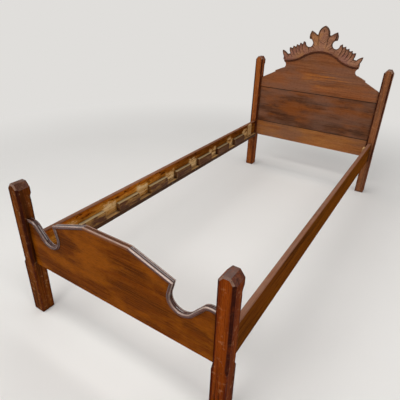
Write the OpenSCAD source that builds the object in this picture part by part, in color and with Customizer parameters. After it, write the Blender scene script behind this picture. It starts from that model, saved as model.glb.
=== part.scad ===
// Antique single bed frame, without slats or mattress.
// X runs across the bed, Y from the foot to the head and Z up. The origin lies on
// the floor below the middle of the frame. The foot stands at -Y.

/* [Bed] */
// Distance across between the centres of the posts
post_pitch_x = 870; // [820:5:1200]
// Distance along the bed between the centres of the posts
post_pitch_y = 2000; // [1930:10:2200]

/* [Posts] */
// Side of the square posts
post_s = 54; // [46:1:64]
// Height of the foot posts
foot_post_h = 592; // [560:1:680]
// Height of the head posts
head_post_h = 832; // [790:1:960]
// Width taken off each upper corner of a post
post_clip_x = 16; // [10:1:20]
// Height taken off each upper corner of a post
post_clip_z = 21; // [12:1:32]
// Leg of the chamfer along the upright edges
post_edge = 8; // [4:0.5:8.5]
// Leg of the chamfer round the clipped top of the front face
post_top_edge = 5; // [2:0.5:7]
// Height at which the edge chamfers of the foot posts begin
foot_edge_z = 246; // [200:1:300]
// Height at which the edge chamfers of the head posts begin
head_edge_z = 258; // [200:1:300]
// Length of the hollow in which an edge chamfer runs out
edge_runout = 20; // [14:1:30]
// Depth of that hollow below the chamfer
runout_hollow = 0.8; // [0.4:0.1:1.5]
// Distance from the shoulder down to the end of the rear edge chamfers
rear_edge_stop = 25; // [15:1:40]
// Chamfer round the foot of a post
post_base_edge = 2; // [1:0.5:4]

/* [Side rails] */
// Thickness of the side rails
rail_t = 21; // [18:0.5:26]
// Height of the side rails
rail_h = 128; // [115:1:160]
// Height of the lower edge of the side rails above the floor
rail_z = 232; // [180:1:260]
// Distance from the outer face of a post in to the outer face of a rail
rail_setback = 22; // [16:0.5:26]
// Chamfer along the upper edges of a rail
rail_edge = 2.5; // [1:0.5:4]

/* [Ledgers and slat blocks] */
// Thickness of the ledger strips
ledger_t = 22; // [16:1:30]
// Height of the ledger strips
ledger_h = 20; // [16:1:30]
// Distance from the lower edge of a rail up to its ledger
ledger_lift = 18; // [5:1:30]
// Gap between each end of a ledger and the face of the post
ledger_gap = 10; // [2:1:40]
// Length of a slat block
block_l = 145; // [110:1:148]
// Height of a slat block
block_h = 42; // [25:1:50]
// Clear length of the slat notch between two blocks
notch_l = 89; // [60:1:92]
// Distance from the foot post to the first block
first_block = 188.5; // [120:0.5:200]
// Chamfer along the inner upper edge of a block
block_edge = 2; // [0.5:0.5:4]
// Width of the upright stop at the last slat
stop_w = 45; // [30:1:60]
// Thickness of the upright stop
stop_t = 10; // [6:1:20]
// Height of the upright stop
stop_h = 88; // [50:1:88]
// Distance from the head post to the upright stop
stop_in = 78; // [20:1:85]

/* [Panel joints] */
// Thickness of the tenons
tenon_t = 10; // [7:0.5:12]
// Length of the tenons
tenon_l = 20; // [12:1:24]
// Shoulder above and below each tenon
tenon_shoulder = 10; // [6:1:16]
// Clearance round a tenon in its mortise
tenon_fit = 0.2; // [0.1:0.05:0.5]
// Clearance beyond the end of a tenon
tenon_end_gap = 1; // [0.5:0.5:3]

/* [Footboard panel] */
// Thickness of the footboard panel
foot_panel_t = 18; // [15:0.5:22]
// Height of the lower edge of the footboard panel
foot_panel_z = 246; // [200:1:300]
// Distance from the outer face of a foot post in to the panel
foot_panel_setback = 19; // [15:0.5:22]
// Height of the panel edge at the middle
crown_z = 520; // [500:1:560]
// Half the length of the level edge at the middle
crown_half = 96; // [60:1:150]
// Drop of the edge from the middle to the beak
beak_drop = 51; // [35:1:60]
// Distance from the post in to the beak
beak_in = 162; // [150:1:175]
// Radius of the round scoop in the panel
scoop_r = 54; // [46:0.5:56]
// Distance from the post in to the centre of the scoop
scoop_in = 119; // [112:1:124]
// Drop from the middle of the edge to the centre of the scoop
scoop_drop = 100; // [92:1:106]
// Radius of the round shoulder beside the post
wing_r = 26; // [18:0.5:32]
// Distance from the post in to the centre of the round shoulder
wing_in = 20; // [12:1:28]
// Drop from the middle of the edge to the centre of the round shoulder
wing_drop = 106; // [96:1:116]

/* [Footboard cap moulding] */
// Radius of the large front bead
bead_r = 6; // [4.5:0.25:7]
// Height of the fillet between the beads
cap_flat_h = 9; // [8.5:0.25:10]
// Height of the cap at the grooves beside the beads
cap_groove_h = 7.5; // [6:0.25:8]
// Width of each groove
cap_groove_w = 1.25; // [0.5:0.25:2]
// Radius of the small rear bead
rear_bead_r = 2.75; // [1.5:0.25:3]
// Height of the small rear bead
rear_bead_h = 11; // [10:0.25:12]

/* [Headboard] */
// Thickness of the headboard
head_panel_t = 18; // [15:0.5:22]
// Distance from the front face of a head post back to the headboard
head_panel_setback = 17; // [14:0.5:21]
// Height of the lower edge of the headboard
head_panel_z = 258; // [200:1:300]
// Height of the lower board
lower_board_h = 114; // [80:1:160]
// Height of the middle board
middle_board_h = 252; // [200:1:270]
// Height of the upper board at the posts
upper_end_h = 66; // [50:1:80]
// Rise of the upper edge from the post to the break
slope_rise = 52; // [30:1:70]
// Distance from the post in to the break
break_in = 100; // [80:1:115]
// Small upright step at the break
break_step = 8; // [3:0.5:14]
// Rise of the upper edge from the step to the cove
shoulder_rise = 23; // [12:1:30]
// Radius of the cove below the crest
cove_r = 22; // [16:0.5:24]
// Distance from the middle out to the centre of the cove
cove_x = 257; // [254:0.5:262]
// Half the width of the arch that carries the crest
arch_half = 251; // [246:0.5:253]
// Radius of the arch that carries the crest
arch_r = 440; // [420:5:480]
// Height of the arch above the top of the coves
arch_rise = 98; // [90:1:102]
// Depth of the grooves along the board joints
joint_v = 1.5; // [0.5:0.25:2.5]

/* [Crest] */
// Lap of the crest on the arch at the middle
crest_lap = 11; // [8:0.5:16]
// Half the width of the curved lower edge of the crest
ogee_half = 240; // [236:1:244]
// Fall of the curved lower edge from the middle to the ends
ogee_drop = 75; // [68:1:78]
// Half the width of the crest from tip to tip
crest_half_w = 267; // [262:1:270]
// Thickness of the carved ground
crest_ground = 9; // [8:0.5:11]
// Thickness of the first wing leaf, the thickest
wing_leaf_t = 15; // [12:0.5:18]
// Step in thickness from each wing leaf to the next
wing_leaf_step = 0.9; // [0.3:0.1:1.2]
// Thickness of the side leaves of the middle
side_leaf_t = 15.5; // [12:0.5:18]
// Thickness of the central leaf
centre_leaf_t = 17; // [14:0.5:20]
// Height of the peak above the lower edge at the middle
crest_peak = 153; // [145:1:165]
// Number of leaves on each wing
wing_leaves = 5; // [4:1:6]
// Half the width of a wing leaf
wing_leaf_w = 19; // [15:0.5:22]
// Half the width of the leaf at the end of a wing
end_leaf_w = 15; // [12:0.5:17]
// Half the width of the side leaves of the middle
side_leaf_w = 23; // [20:0.5:25]
// Half the width of the central leaf
centre_leaf_w = 37; // [34:0.5:39]
// Radius of the round throats between the middle and the wings
throat_r = 25; // [23:0.5:26]
// Radius of the round flutes in the leaves
flute_r = 5; // [3:0.25:6]
// Depth of the flutes
flute_d = 2.6; // [1:0.1:3]
// Height of the moulding below the crest
crest_mould_h = 12; // [8:0.5:16]
// Thickness of the moulding below the crest
crest_mould_t = 9; // [6:0.5:12]
// Thickness of the lower step of that moulding
crest_mould_step = 5; // [3:0.5:5.5]

/* [Bed hooks] */
// Length of a hook plate
plate_l = 100; // [94:1:104]
// Width of a hook plate
plate_w = 16; // [12:0.5:17]
// Thickness of a hook plate
plate_t = 3; // [2.5:0.25:4]
// Distance between the two hooks of a plate
hook_pitch = 64; // [58:1:66]
// Thickness of a hook
hook_t = 4; // [3:0.25:5]
// Reach of a hook from its plate
hook_reach = 16; // [15:0.25:16.5]
// Height of a hook above the middle of its pin
hook_up = 11; // [8:0.5:12]
// Depth of a hook below the middle of its pin
hook_down = 10; // [7:0.5:11]
// Distance from the face of the post to the middle of a pin
pin_in = 9; // [8.75:0.25:9.5]
// Diameter of the pins that carry the hooks
pin_d = 5; // [4:0.25:5.5]
// Length of the pins
pin_l = 38; // [32:1:44]
// Clearance beside a pin in its hook and beside a hook in its slot
hook_fit = 0.4; // [0.2:0.05:0.8]
// Lift that the slot leaves above the hooks
hook_lift = 13; // [11:1:18]

/* [Screws] */
// Diameter of the wood screws
screw_d = 4; // [3:0.25:5]
// Diameter of the screw heads
screw_head = 8; // [7:0.25:9]
// Height of the screw heads
screw_head_h = 2.4; // [2:0.1:2.5]
// Length of the hook plate screws
plate_screw_l = 32; // [20:1:45]
// Distance from the end of a plate to its outer screws
plate_screw_in = 6; // [5.5:0.25:6.5]
// Length of the ledger screws
ledger_screw_l = 36; // [28:1:38]
// Length of the crest screws
crest_screw_l = 23; // [21:0.5:24]
// Distance from the middle to the inner crest screws
crest_screw_a = 100; // [80:1:120]
// Distance from the middle to the outer crest screws
crest_screw_b = 190; // [170:1:205]

/* [Hidden] */
$fn = 72;
SIDES = [-1, 1];
SIDE_NAMES = ["left", "right"];
BLOCKS = 7;
BEAD_STEPS = 14;
REAR_STEPS = 6;
SCOOP_STEPS = 20;
WING_STEPS = 8;

// Places across the bed
post_x = post_pitch_x / 2;
post_in = post_x - post_s / 2;
post_out = post_x + post_s / 2;
rail_out = post_out - rail_setback;
rail_in = rail_out - rail_t;
rail_mid = rail_out - rail_t / 2;

// Places along the bed
post_y = post_pitch_y / 2;
post_face = post_y - post_s / 2;
foot_panel_y = -post_y - post_s / 2 + foot_panel_setback;
head_panel_y = post_face + head_panel_setback;

// Heights of the ledgers and blocks
ledger_z = rail_z + ledger_lift;
slat_z = ledger_z + ledger_h;
block_pitch = block_l + notch_l;
block_y = -post_face + first_block;

// Points of the upper edge of the footboard panel, on its right half
beak_x = post_in - beak_in;
beak_z = crown_z - beak_drop;
scoop_x = post_in - scoop_in;
scoop_z = crown_z - scoop_drop;
wing_x = post_in - wing_in;
wing_z = crown_z - wing_drop;
slope_a = atan2(-beak_drop, beak_x - crown_half);
beak_to_scoop = norm([scoop_x - beak_x, scoop_z - beak_z]);
beak_a = atan2(scoop_z - beak_z, scoop_x - beak_x) - asin(scoop_r / beak_to_scoop);
scoop_to_wing = norm([wing_x - scoop_x, wing_z - scoop_z]);
rise_a = atan2(wing_z - scoop_z, wing_x - scoop_x)
    + asin((scoop_r + wing_r) / scoop_to_wing);
wing_top = wing_z + wing_r;
cap_w = foot_panel_t + bead_r;

// Heights of the headboard
middle_z = head_panel_z + lower_board_h;
upper_z = middle_z + middle_board_h;
upper_end_z = upper_z + upper_end_h;
break_x = post_in - break_in;
break_z = upper_end_z + slope_rise;
lip_z = break_z + break_step + shoulder_rise;
cove_z = lip_z + cove_r;
arch_z = cove_z + cove_r + arch_rise;
crest_z = arch_z - crest_lap;
ogee_r = (pow(ogee_half, 2) + pow(ogee_drop, 2)) / (4 * ogee_drop);

// Heights and depths of the bed hooks
plate_z = rail_z + rail_h / 2;
slot_depth = hook_reach + 2;
slot_lo = plate_z - hook_pitch / 2 - hook_down - 1;
slot_hi = plate_z + hook_pitch / 2 + hook_up + hook_lift;
slot_w = hook_t + 2 * hook_fit + 1;

function polar(p, r, a) = [p[0] + r * cos(a), p[1] + r * sin(a)];
function arch_at(x) = arch_z - arch_r + sqrt(pow(arch_r, 2) - x * x);
function ogee_at(x) = abs(x) <= ogee_half / 2
    ? crest_z - ogee_r + sqrt(pow(ogee_r, 2) - x * x)
    : crest_z - ogee_drop + ogee_r - sqrt(pow(ogee_r, 2) - pow(ogee_half - abs(x), 2));

// Turns a flat outline upright, from y0 back by a thickness t
module upright(y0, t) {
    translate([0, y0 + t, 0])
        rotate([90, 0, 0])
            linear_extrude(t) children();
}

// Both mirror images of a shape on the right half
module both() {
    children();
    mirror([1, 0, 0]) children();
}

// Half space beyond the point p, on the side to which the angle a points
module beyond(p, a) {
    translate([p[0], 0, p[1]])
        rotate([0, -a, 0])
            translate([0, -2 * post_y, -150])
                cube([300, 4 * post_y, 300]);
}

// A countersunk wood screw with its head at the origin, pointing down
module wood_screw(length) {
    translate([0, 0, -length]) cylinder(d = screw_d, h = length - screw_head_h);
    translate([0, 0, -screw_head_h])
        cylinder(d1 = screw_d, d2 = screw_head, h = screw_head_h);
}

// ---- Posts ----

// Cuts the chamfer along one upright edge, which runs out in a hollow below
module edge_cut(lo, hi, stopped) {
    depth = post_edge / sqrt(2) + runout_hollow;
    r = (pow(edge_runout, 2) + pow(depth, 2)) / (2 * depth);
    ends = stopped ? [lo + edge_runout, hi - edge_runout] : [lo + edge_runout];
    top = stopped ? hi - edge_runout : hi;
    translate([0, 0, lo + edge_runout])
        linear_extrude(top - lo - edge_runout)
            rotate(45) square(post_edge * sqrt(2), center = true);
    for (z = ends)
        translate([0, 0, z])
            rotate([0, 0, 45])
                translate([r - depth, 0, 0])
                    rotate([90, 0, 0])
                        cylinder(r = r, h = 4 * post_edge, center = true);
}

// Cuts the chamfer on the front arris between two points of the clipped top
module top_cut(p, q) {
    a = atan2(q[1] - p[1], q[0] - p[0]);
    len = norm([q[0] - p[0], q[1] - p[1]]);
    translate([p[0], -post_s / 2, p[1]])
        rotate([0, -a, 0])
            rotate([45, 0, 0])
                translate([len / 2, 0, 0])
                    cube([len + 2 * post_top_edge, post_top_edge * sqrt(2),
                          post_top_edge * sqrt(2)], center = true);
}

// A post round its own middle, with its front face at -Y
module post_body(h, edge_z) {
    half = post_s / 2;
    shoulder = h - post_clip_z;
    flat = half - post_clip_x;
    difference() {
        upright(-half, post_s)
            polygon([[-half, 0], [half, 0], [half, shoulder], [flat, h], [-flat, h],
                     [-half, shoulder]]);
        for (s = SIDES) {
            translate([s * half, -half, 0])
                rotate([0, 0, s > 0 ? -90 : 180])
                    edge_cut(edge_z, shoulder + post_clip_z, false);
            translate([s * half, half, 0])
                rotate([0, 0, s > 0 ? 0 : 90])
                    edge_cut(edge_z, shoulder - rear_edge_stop, true);
            top_cut([s * half, shoulder], [s * flat, h]);
            translate([s * half, 0, 0])
                rotate([0, 45, 0])
                    cube([post_base_edge * sqrt(2), 2 * post_s,
                          post_base_edge * sqrt(2)], center = true);
            translate([0, s * half, 0])
                rotate([45, 0, 0])
                    cube([2 * post_s, post_base_edge * sqrt(2),
                          post_base_edge * sqrt(2)], center = true);
        }
        top_cut([-flat, h], [flat, h]);
    }
}

// Mortise in the right-hand post for a tenon between two heights
module mortise(y, lo, hi) {
    translate([post_in - 1, y - tenon_t / 2 - tenon_fit, lo - tenon_fit])
        cube([tenon_l + tenon_end_gap + 1, tenon_t + 2 * tenon_fit,
              hi - lo + 2 * tenon_fit]);
}

// Slot and pin bores for the hooks, in the face towards the rail; dir is the way
// from the rail into the post
module hook_slot(dir) {
    face = dir * post_face;
    translate([rail_mid - slot_w / 2, min(face - dir, face + dir * slot_depth), slot_lo])
        cube([slot_w, slot_depth + 1, slot_hi - slot_lo]);
    pins_at(dir) translate([0, 0, -1]) cylinder(d = pin_d, h = pin_l + 1);
}

// Places of the two pins in the right-hand post
module pins_at(dir) {
    for (k = SIDES)
        translate([post_in, dir * (post_face + pin_in), plate_z + k * hook_pitch / 2])
            rotate([0, 90, 0]) children();
}

module foot_post(side) {
    color("#5b3019")
    mirror([side < 0 ? 1 : 0, 0, 0])
    difference() {
        translate([post_x, -post_y, 0]) post_body(foot_post_h, foot_edge_z);
        mortise(foot_panel_y + foot_panel_t / 2, foot_panel_z + tenon_shoulder,
                wing_top - tenon_shoulder);
        hook_slot(-1);
    }
}

module head_post(side) {
    y = head_panel_y + head_panel_t / 2;
    color("#5b3019")
    mirror([side < 0 ? 1 : 0, 0, 0])
    difference() {
        translate([post_x, post_y, 0]) post_body(head_post_h, head_edge_z);
        mortise(y, head_panel_z + tenon_shoulder, middle_z - tenon_shoulder);
        mortise(y, middle_z + tenon_shoulder, upper_z - tenon_shoulder);
        mortise(y, upper_z + tenon_shoulder, upper_end_z - tenon_shoulder);
        hook_slot(1);
    }
}

// ---- Footboard ----

// Tenons at both ends of a board
module tenons(y, lo, hi) {
    for (s = SIDES)
        translate([s > 0 ? post_in - 1 : -post_in - tenon_l, y - tenon_t / 2, lo])
            cube([tenon_l + 1, tenon_t, hi - lo]);
}

// Upper edge of the panel on its right half, from the post to the middle
function panel_edge() = concat(
    [[post_in, wing_top]],
    [for (i = [len(scroll) - 1:-1:0]) scroll[i][0]],
    [[crown_half, crown_z]]);

module footboard_panel() {
    edge = panel_edge();
    color("#4a2715") {
        upright(foot_panel_y, foot_panel_t)
            polygon(concat(
                [[-post_in, foot_panel_z], [post_in, foot_panel_z]],
                edge,
                [for (i = [len(edge) - 1:-1:0]) [-edge[i][0], edge[i][1]]]));
        tenons(foot_panel_y + foot_panel_t / 2, foot_panel_z + tenon_shoulder,
               wing_top - tenon_shoulder);
    }
}

// Section of the cap: x is the height above the panel edge, y the way to the front
module cap_section() {
    rear = foot_panel_t - 2 * rear_bead_r;
    translate([bead_r, 0]) circle(bead_r);
    translate([0, -foot_panel_t]) square([cap_groove_h, foot_panel_t]);
    translate([0, -rear + cap_groove_w])
        square([cap_flat_h, rear - bead_r - 2 * cap_groove_w]);
    translate([0, -foot_panel_t]) square([rear_bead_h - rear_bead_r, 2 * rear_bead_r]);
    translate([rear_bead_h - rear_bead_r, -foot_panel_t + rear_bead_r])
        circle(rear_bead_r);
}

// Straight length of cap from the point p along the angle a
module cap_straight(p, a, from, to) {
    translate([p[0], foot_panel_y, p[1]])
        rotate([0, -a, 0])
            rotate([180, 0, 0])
                rotate([0, 90, 0])
                    translate([0, 0, from])
                        linear_extrude(to - from) cap_section();
}

// The same section as points [way to the rear, height]: the front bead, the fillet
// between its two grooves, the rear bead and the rear lower corner
bead_end = asin((cap_groove_h - bead_r) / bead_r);
rear_start = foot_panel_t - 2 * rear_bead_r;
section = concat(
    [for (i = [0:BEAD_STEPS])
        let (a = -90 - i * (270 - bead_end) / BEAD_STEPS)
        [bead_r * cos(a), bead_r + bead_r * sin(a)]],
    [[bead_r + cap_groove_w, cap_groove_h], [bead_r + cap_groove_w, cap_flat_h],
     [rear_start - cap_groove_w, cap_flat_h], [rear_start - cap_groove_w, cap_groove_h],
     [rear_start, cap_groove_h]],
    [for (i = [0:REAR_STEPS])
        let (a = 180 - i * 180 / REAR_STEPS)
        [rear_start + rear_bead_r + rear_bead_r * cos(a),
         rear_bead_h - rear_bead_r + rear_bead_r * sin(a)]],
    [[foot_panel_t, 0]]);

// Stations of the scroll, each [place on the panel edge, outward normal]
scroll = concat(
    [[[beak_x, beak_z], polar([0, 0], 1 / cos((slope_a - beak_a) / 2),
                              (slope_a + beak_a) / 2 + 90)]],
    [for (i = [0:SCOOP_STEPS])
        let (a = beak_a + 270 + i * (rise_a - beak_a) / SCOOP_STEPS)
        [polar([scoop_x, scoop_z], scoop_r, a), polar([0, 0], -1, a)]],
    [for (i = [0:WING_STEPS])
        let (a = rise_a + 90 - i * rise_a / WING_STEPS)
        [polar([wing_x, wing_z], wing_r, a), polar([0, 0], 1, a)]]);

// Faces that close an end of the sweep whose points start at the number o
function end_faces(o) =
    let (b = BEAD_STEPS, r0 = b + 5, last = len(section) - 1)
    [[for (i = [0:b]) o + i],
     [o, o + b, o + b + 1, o + b + 4, o + r0, o + last],
     [o + b + 1, o + b + 2, o + b + 3, o + b + 4],
     [for (i = [r0:last]) o + i]];
function turned(faces) = [for (f = faces) [for (i = [len(f) - 1:-1:0]) f[i]]];

// The section swept along the stations
module sweep(stations) {
    n = len(section);
    m = len(stations);
    polyhedron(
        points = [for (s = stations, p = section)
            [s[0][0] + p[1] * s[1][0], foot_panel_y + p[0], s[0][1] + p[1] * s[1][1]]],
        faces = concat(
            turned(end_faces(0)),
            [for (k = [0:m - 2], i = [0:n - 1])
                [k * n + i, k * n + (i + 1) % n, (k + 1) * n + (i + 1) % n,
                 (k + 1) * n + i]],
            end_faces((m - 1) * n)));
}

module cap_flat() {
    color("#6b3a1e")
    difference() {
        cap_straight([0, crown_z], 0, -crown_half - 10, crown_half + 10);
        beyond([crown_half, crown_z], slope_a / 2);
        mirror([1, 0, 0]) beyond([crown_half, crown_z], slope_a / 2);
    }
}

module cap_slope(side) {
    len = norm([beak_x - crown_half, beak_drop]);
    color("#6b3a1e")
    mirror([side < 0 ? 1 : 0, 0, 0])
    difference() {
        cap_straight([crown_half, crown_z], slope_a, -10, len + 30);
        beyond([crown_half, crown_z], slope_a / 2 + 180);
        beyond([beak_x, beak_z], (slope_a + beak_a) / 2);
    }
}

// The scroll from the beak round the scoop and up to the round shoulder
module cap_scroll(side) {
    color("#6b3a1e")
    mirror([side < 0 ? 1 : 0, 0, 0]) sweep(scroll);
}

module cap_end(side) {
    color("#6b3a1e")
    mirror([side < 0 ? 1 : 0, 0, 0])
        cap_straight([wing_x, wing_top], 0, 0, wing_in);
}

// ---- Headboard ----

// Groove half along a joint, on the front arris of a board at the height z
module joint_cut(z) {
    translate([0, head_panel_y, z])
        rotate([45, 0, 0])
            cube([2 * post_in, joint_v * sqrt(2), joint_v * sqrt(2)], center = true);
}

// A plain board of the headboard with its tenons
module plain_board(lo, hi) {
    difference() {
        translate([-post_in, head_panel_y, lo])
            cube([2 * post_in, head_panel_t, hi - lo]);
        if (lo > head_panel_z) joint_cut(lo);
        joint_cut(hi);
    }
    tenons(head_panel_y + head_panel_t / 2, lo + tenon_shoulder, hi - tenon_shoulder);
}

module headboard_lower_board() {
    color("#7a4a2a") plain_board(head_panel_z, middle_z);
}

module headboard_middle_board() {
    color("#4a2715") plain_board(middle_z, upper_z);
}

// Outline of the upper board: stepped shoulders, coves and the arch behind the crest
module upper_outline() {
    difference() {
        union() {
            polygon([for (s = SIDES, k = [0:4])
                let (i = s > 0 ? 4 - k : k,
                     p = [[post_in, upper_z], [post_in, upper_end_z], [break_x, break_z],
                          [break_x, break_z + break_step], [cove_x, lip_z]][i])
                [s * p[0], p[1]]]);
            intersection() {
                translate([0, arch_z - arch_r]) circle(arch_r);
                translate([-arch_half, upper_z])
                    square([2 * arch_half, arch_z - upper_z]);
            }
        }
        for (s = SIDES)
            translate([s * cove_x, cove_z]) circle(cove_r);
    }
}

module headboard_upper_board() {
    color("#4a2715") {
        difference() {
            upright(head_panel_y, head_panel_t) upper_outline();
            joint_cut(upper_z);
            crest_screws_at() wood_screw(crest_screw_l);
        }
        tenons(head_panel_y + head_panel_t / 2, upper_z + tenon_shoulder,
               upper_end_z - tenon_shoulder);
    }
}

// ---- Crest ----

// A pointed leaf from p to q with the half width w
module leaf(p, q, w) {
    len = norm(q - p);
    r = (len * len / 4 + w * w) / (2 * w);
    translate(p)
        rotate(atan2(q[1] - p[1], q[0] - p[0]))
            intersection() {
                translate([len / 2, w - r]) circle(r);
                translate([len / 2, r - w]) circle(r);
            }
}

function toward(p, q, f) = p + (q - p) * f;

// All that lies below the curved line, set down by d
module under_ogee(d) {
    low = crest_z - ogee_drop;
    mid = (crest_z + low) / 2;
    translate([0, crest_z - ogee_r]) circle(ogee_r - d);
    translate([-2 * ogee_half, low - 200]) square([4 * ogee_half, 200 - d]);
    difference() {
        translate([-ogee_half, low - 200]) square([2 * ogee_half, 200 + mid - low]);
        for (s = SIDES)
            translate([s * ogee_half, low + ogee_r]) circle(ogee_r + d);
    }
}

// A point of the crest, by its shares of the half width and of the height to the peak
function on_crest(u, v) = [u * crest_half_w, crest_z + v * crest_peak];

// Tip and root of the wing leaf i, from the middle outwards: the leaves fan out
function wing_tip(i) = let (f = i / (wing_leaves - 1))
    on_crest(0.476 + 0.344 * f, 0.34 - 0.294 * f);
function wing_root(i) = let (f = i / (wing_leaves - 1))
    on_crest(0.33 + 0.27 * f, -0.248 - 0.157 * f);

// Shares that give the outline of the ground below and between the leaves
ground_shares = [[0, 0.654], [0.18, 0.641], [0.262, 0.601], [0.423, 0.196], [0.453, 0.272],
                 [0.775, 0.01], [0.798, -0.216], [0.869, -0.235], [0.955, -0.327],
                 [0.959, -0.536], [0.9, -0.588], [0, -0.588]];

module throat() {
    translate(on_crest(0.33, 0.288)) circle(throat_r);
}

// Ground of the crest on its right half
module crest_ground_half() {
    difference() {
        polygon([for (p = ground_shares) on_crest(p[0], p[1])]);
        throat();
    }
}

// A flute in the front of a leaf of the thickness t: it deepens from p to q
module flute(p, q, t) {
    len = norm(q - p);
    translate([p[0], head_panel_y - t - flute_r + flute_d, p[1]])
        rotate([0, 90 - atan2(q[1] - p[1], q[0] - p[0]), 0])
            cylinder(r1 = flute_r / 4, r2 = flute_r, h = len * 1.15);
}

// A leaf of the thickness t with one flute along it
module fluted_leaf(p, q, w, t) {
    difference() {
        upright(head_panel_y - t, t) leaf(p, q, w);
        flute(p, q, t);
    }
}

module crest_half() {
    upright(head_panel_y - crest_ground, crest_ground) crest_ground_half();
    // Wing leaves, each a step lower than the one before
    for (i = [0:wing_leaves - 1])
        fluted_leaf(wing_root(i), wing_tip(i), wing_leaf_w,
                    wing_leaf_t - i * wing_leaf_step);
    // Pointed leaf at the end of the wing
    fluted_leaf(on_crest(0.8, -0.516), on_crest(1, -0.085), end_leaf_w, wing_leaf_t - 1);
    // Side leaves of the middle, cut by the round throat
    difference() {
        union() {
            fluted_leaf(on_crest(0.03, -0.04), on_crest(0.348, 0.523), 0.74 * side_leaf_w,
                        side_leaf_t - 1);
            fluted_leaf(on_crest(0.022, 0.026), on_crest(0.315, 0.778), side_leaf_w,
                        side_leaf_t);
        }
        upright(head_panel_y - 2 * centre_leaf_t, 3 * centre_leaf_t) throat();
    }
}

module crest_plate() {
    peak = on_crest(0, 1);
    lobe = on_crest(0, 0.32);
    foot = on_crest(0, -0.13);
    color("#6a4a3c")
    difference() {
        union() {
            both() crest_half();
            // Central leaf: a broad pointed lobe with a sunk border on a slender stem
            difference() {
                upright(head_panel_y - centre_leaf_t, centre_leaf_t) {
                    leaf(foot, toward(foot, peak, 0.93), 0.8 * centre_leaf_w);
                    leaf(lobe, peak, centre_leaf_w);
                }
                upright(head_panel_y - centre_leaf_t - flute_d, 2 * flute_d)
                    difference() {
                        leaf(toward(lobe, peak, 0.12), toward(lobe, peak, 0.9),
                             0.74 * centre_leaf_w);
                        leaf(toward(lobe, peak, 0.24), toward(lobe, peak, 0.78),
                             0.5 * centre_leaf_w);
                    }
                flute(toward(lobe, peak, 0.1), foot, centre_leaf_t);
            }
        }
        upright(head_panel_y - 2 * centre_leaf_t, 3 * centre_leaf_t) under_ogee(0);
        crest_screws_at() wood_screw(crest_screw_l);
    }
}

module crest_moulding() {
    color("#3d2012")
    for (k = [[crest_mould_h, crest_mould_step], [crest_mould_h / 2, crest_mould_t]])
        upright(head_panel_y - k[1], k[1])
            intersection() {
                difference() {
                    under_ogee(0);
                    under_ogee(k[0]);
                }
                translate([-ogee_half - 5, crest_z - ogee_drop - 50])
                    square([2 * ogee_half + 10, ogee_drop + 60]);
            }
}

// Places of the crest screws, driven from the back of the headboard
module crest_screws_at() {
    for (s = SIDES, x = [crest_screw_a, crest_screw_b])
        translate([s * x, head_panel_y + head_panel_t, (arch_at(x) + ogee_at(x)) / 2])
            rotate([-90, 0, 0]) children();
}

module crest_screws() {
    color("#8a8378") crest_screws_at() wood_screw(crest_screw_l);
}

// ---- Side rails, ledgers and slat blocks ----

module side_rail(side) {
    color("#5e2e18")
    mirror([side < 0 ? 1 : 0, 0, 0])
    difference() {
        translate([rail_in, -post_face, rail_z]) cube([rail_t, 2 * post_face, rail_h]);
        for (x = [rail_in, rail_out])
            translate([x, 0, rail_z + rail_h])
                rotate([0, 45, 0])
                    cube([rail_edge * sqrt(2), 3 * post_face, rail_edge * sqrt(2)],
                         center = true);
        for (dir = SIDES) {
            translate([rail_mid - plate_w / 2, dir * (post_face - plate_t / 2 + 1) - plate_t / 2
                       - 1, plate_z - plate_l / 2])
                cube([plate_w, plate_t + 2, plate_l]);
            plate_screws_at(dir) wood_screw(plate_screw_l);
        }
        ledger_screws_at() wood_screw(ledger_screw_l);
    }
}

module ledger(side) {
    color("#3b2114")
    mirror([side < 0 ? 1 : 0, 0, 0])
    difference() {
        translate([rail_in - ledger_t, ledger_gap - post_face, ledger_z])
            cube([ledger_t, 2 * (post_face - ledger_gap), ledger_h]);
        ledger_screws_at() wood_screw(ledger_screw_l);
    }
}

// Places of the ledger screws on the right: one below each notch and at the ends
module ledger_screws_at() {
    for (k = [0:BLOCKS])
        translate([rail_in - ledger_t, block_y - notch_l / 2 + k * block_pitch,
                   ledger_z + ledger_h / 2])
            rotate([0, -90, 0]) children();
}

module ledger_screws(side) {
    color("#8a8378")
    mirror([side < 0 ? 1 : 0, 0, 0])
        ledger_screws_at() wood_screw(ledger_screw_l);
}

module slat_block(side, i) {
    color("#6a3d22")
    mirror([side < 0 ? 1 : 0, 0, 0])
    difference() {
        translate([rail_in - ledger_t, block_y + (i - 1) * block_pitch, slat_z])
            cube([ledger_t, block_l, block_h]);
        translate([rail_in - ledger_t, block_y + (i - 1) * block_pitch + block_l / 2,
                   slat_z + block_h])
            rotate([0, 45, 0])
                cube([block_edge * sqrt(2), 2 * block_l, block_edge * sqrt(2)],
                     center = true);
    }
}

module slat_stop(side) {
    color("#b08a5c")
    mirror([side < 0 ? 1 : 0, 0, 0])
        translate([rail_in - stop_t, post_face - stop_in - stop_w, slat_z])
            cube([stop_t, stop_w, stop_h]);
}

// ---- Bed hooks ----

// One hook seen from the side: it reaches out along +X from its plate
module hook_outline() {
    bore = pin_d / 2 + hook_fit / 2;
    difference() {
        polygon([[-plate_t, -hook_down], [hook_reach - 2, -hook_down],
                 [hook_reach, -hook_down + 3], [hook_reach, hook_up - 6],
                 [hook_reach - 6, hook_up], [-plate_t, hook_up]]);
        translate([pin_in, -hook_fit / 2]) circle(bore);
        translate([pin_in - bore, -hook_down - 1])
            square([2 * bore, hook_down + 1 - hook_fit / 2]);
    }
}

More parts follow.
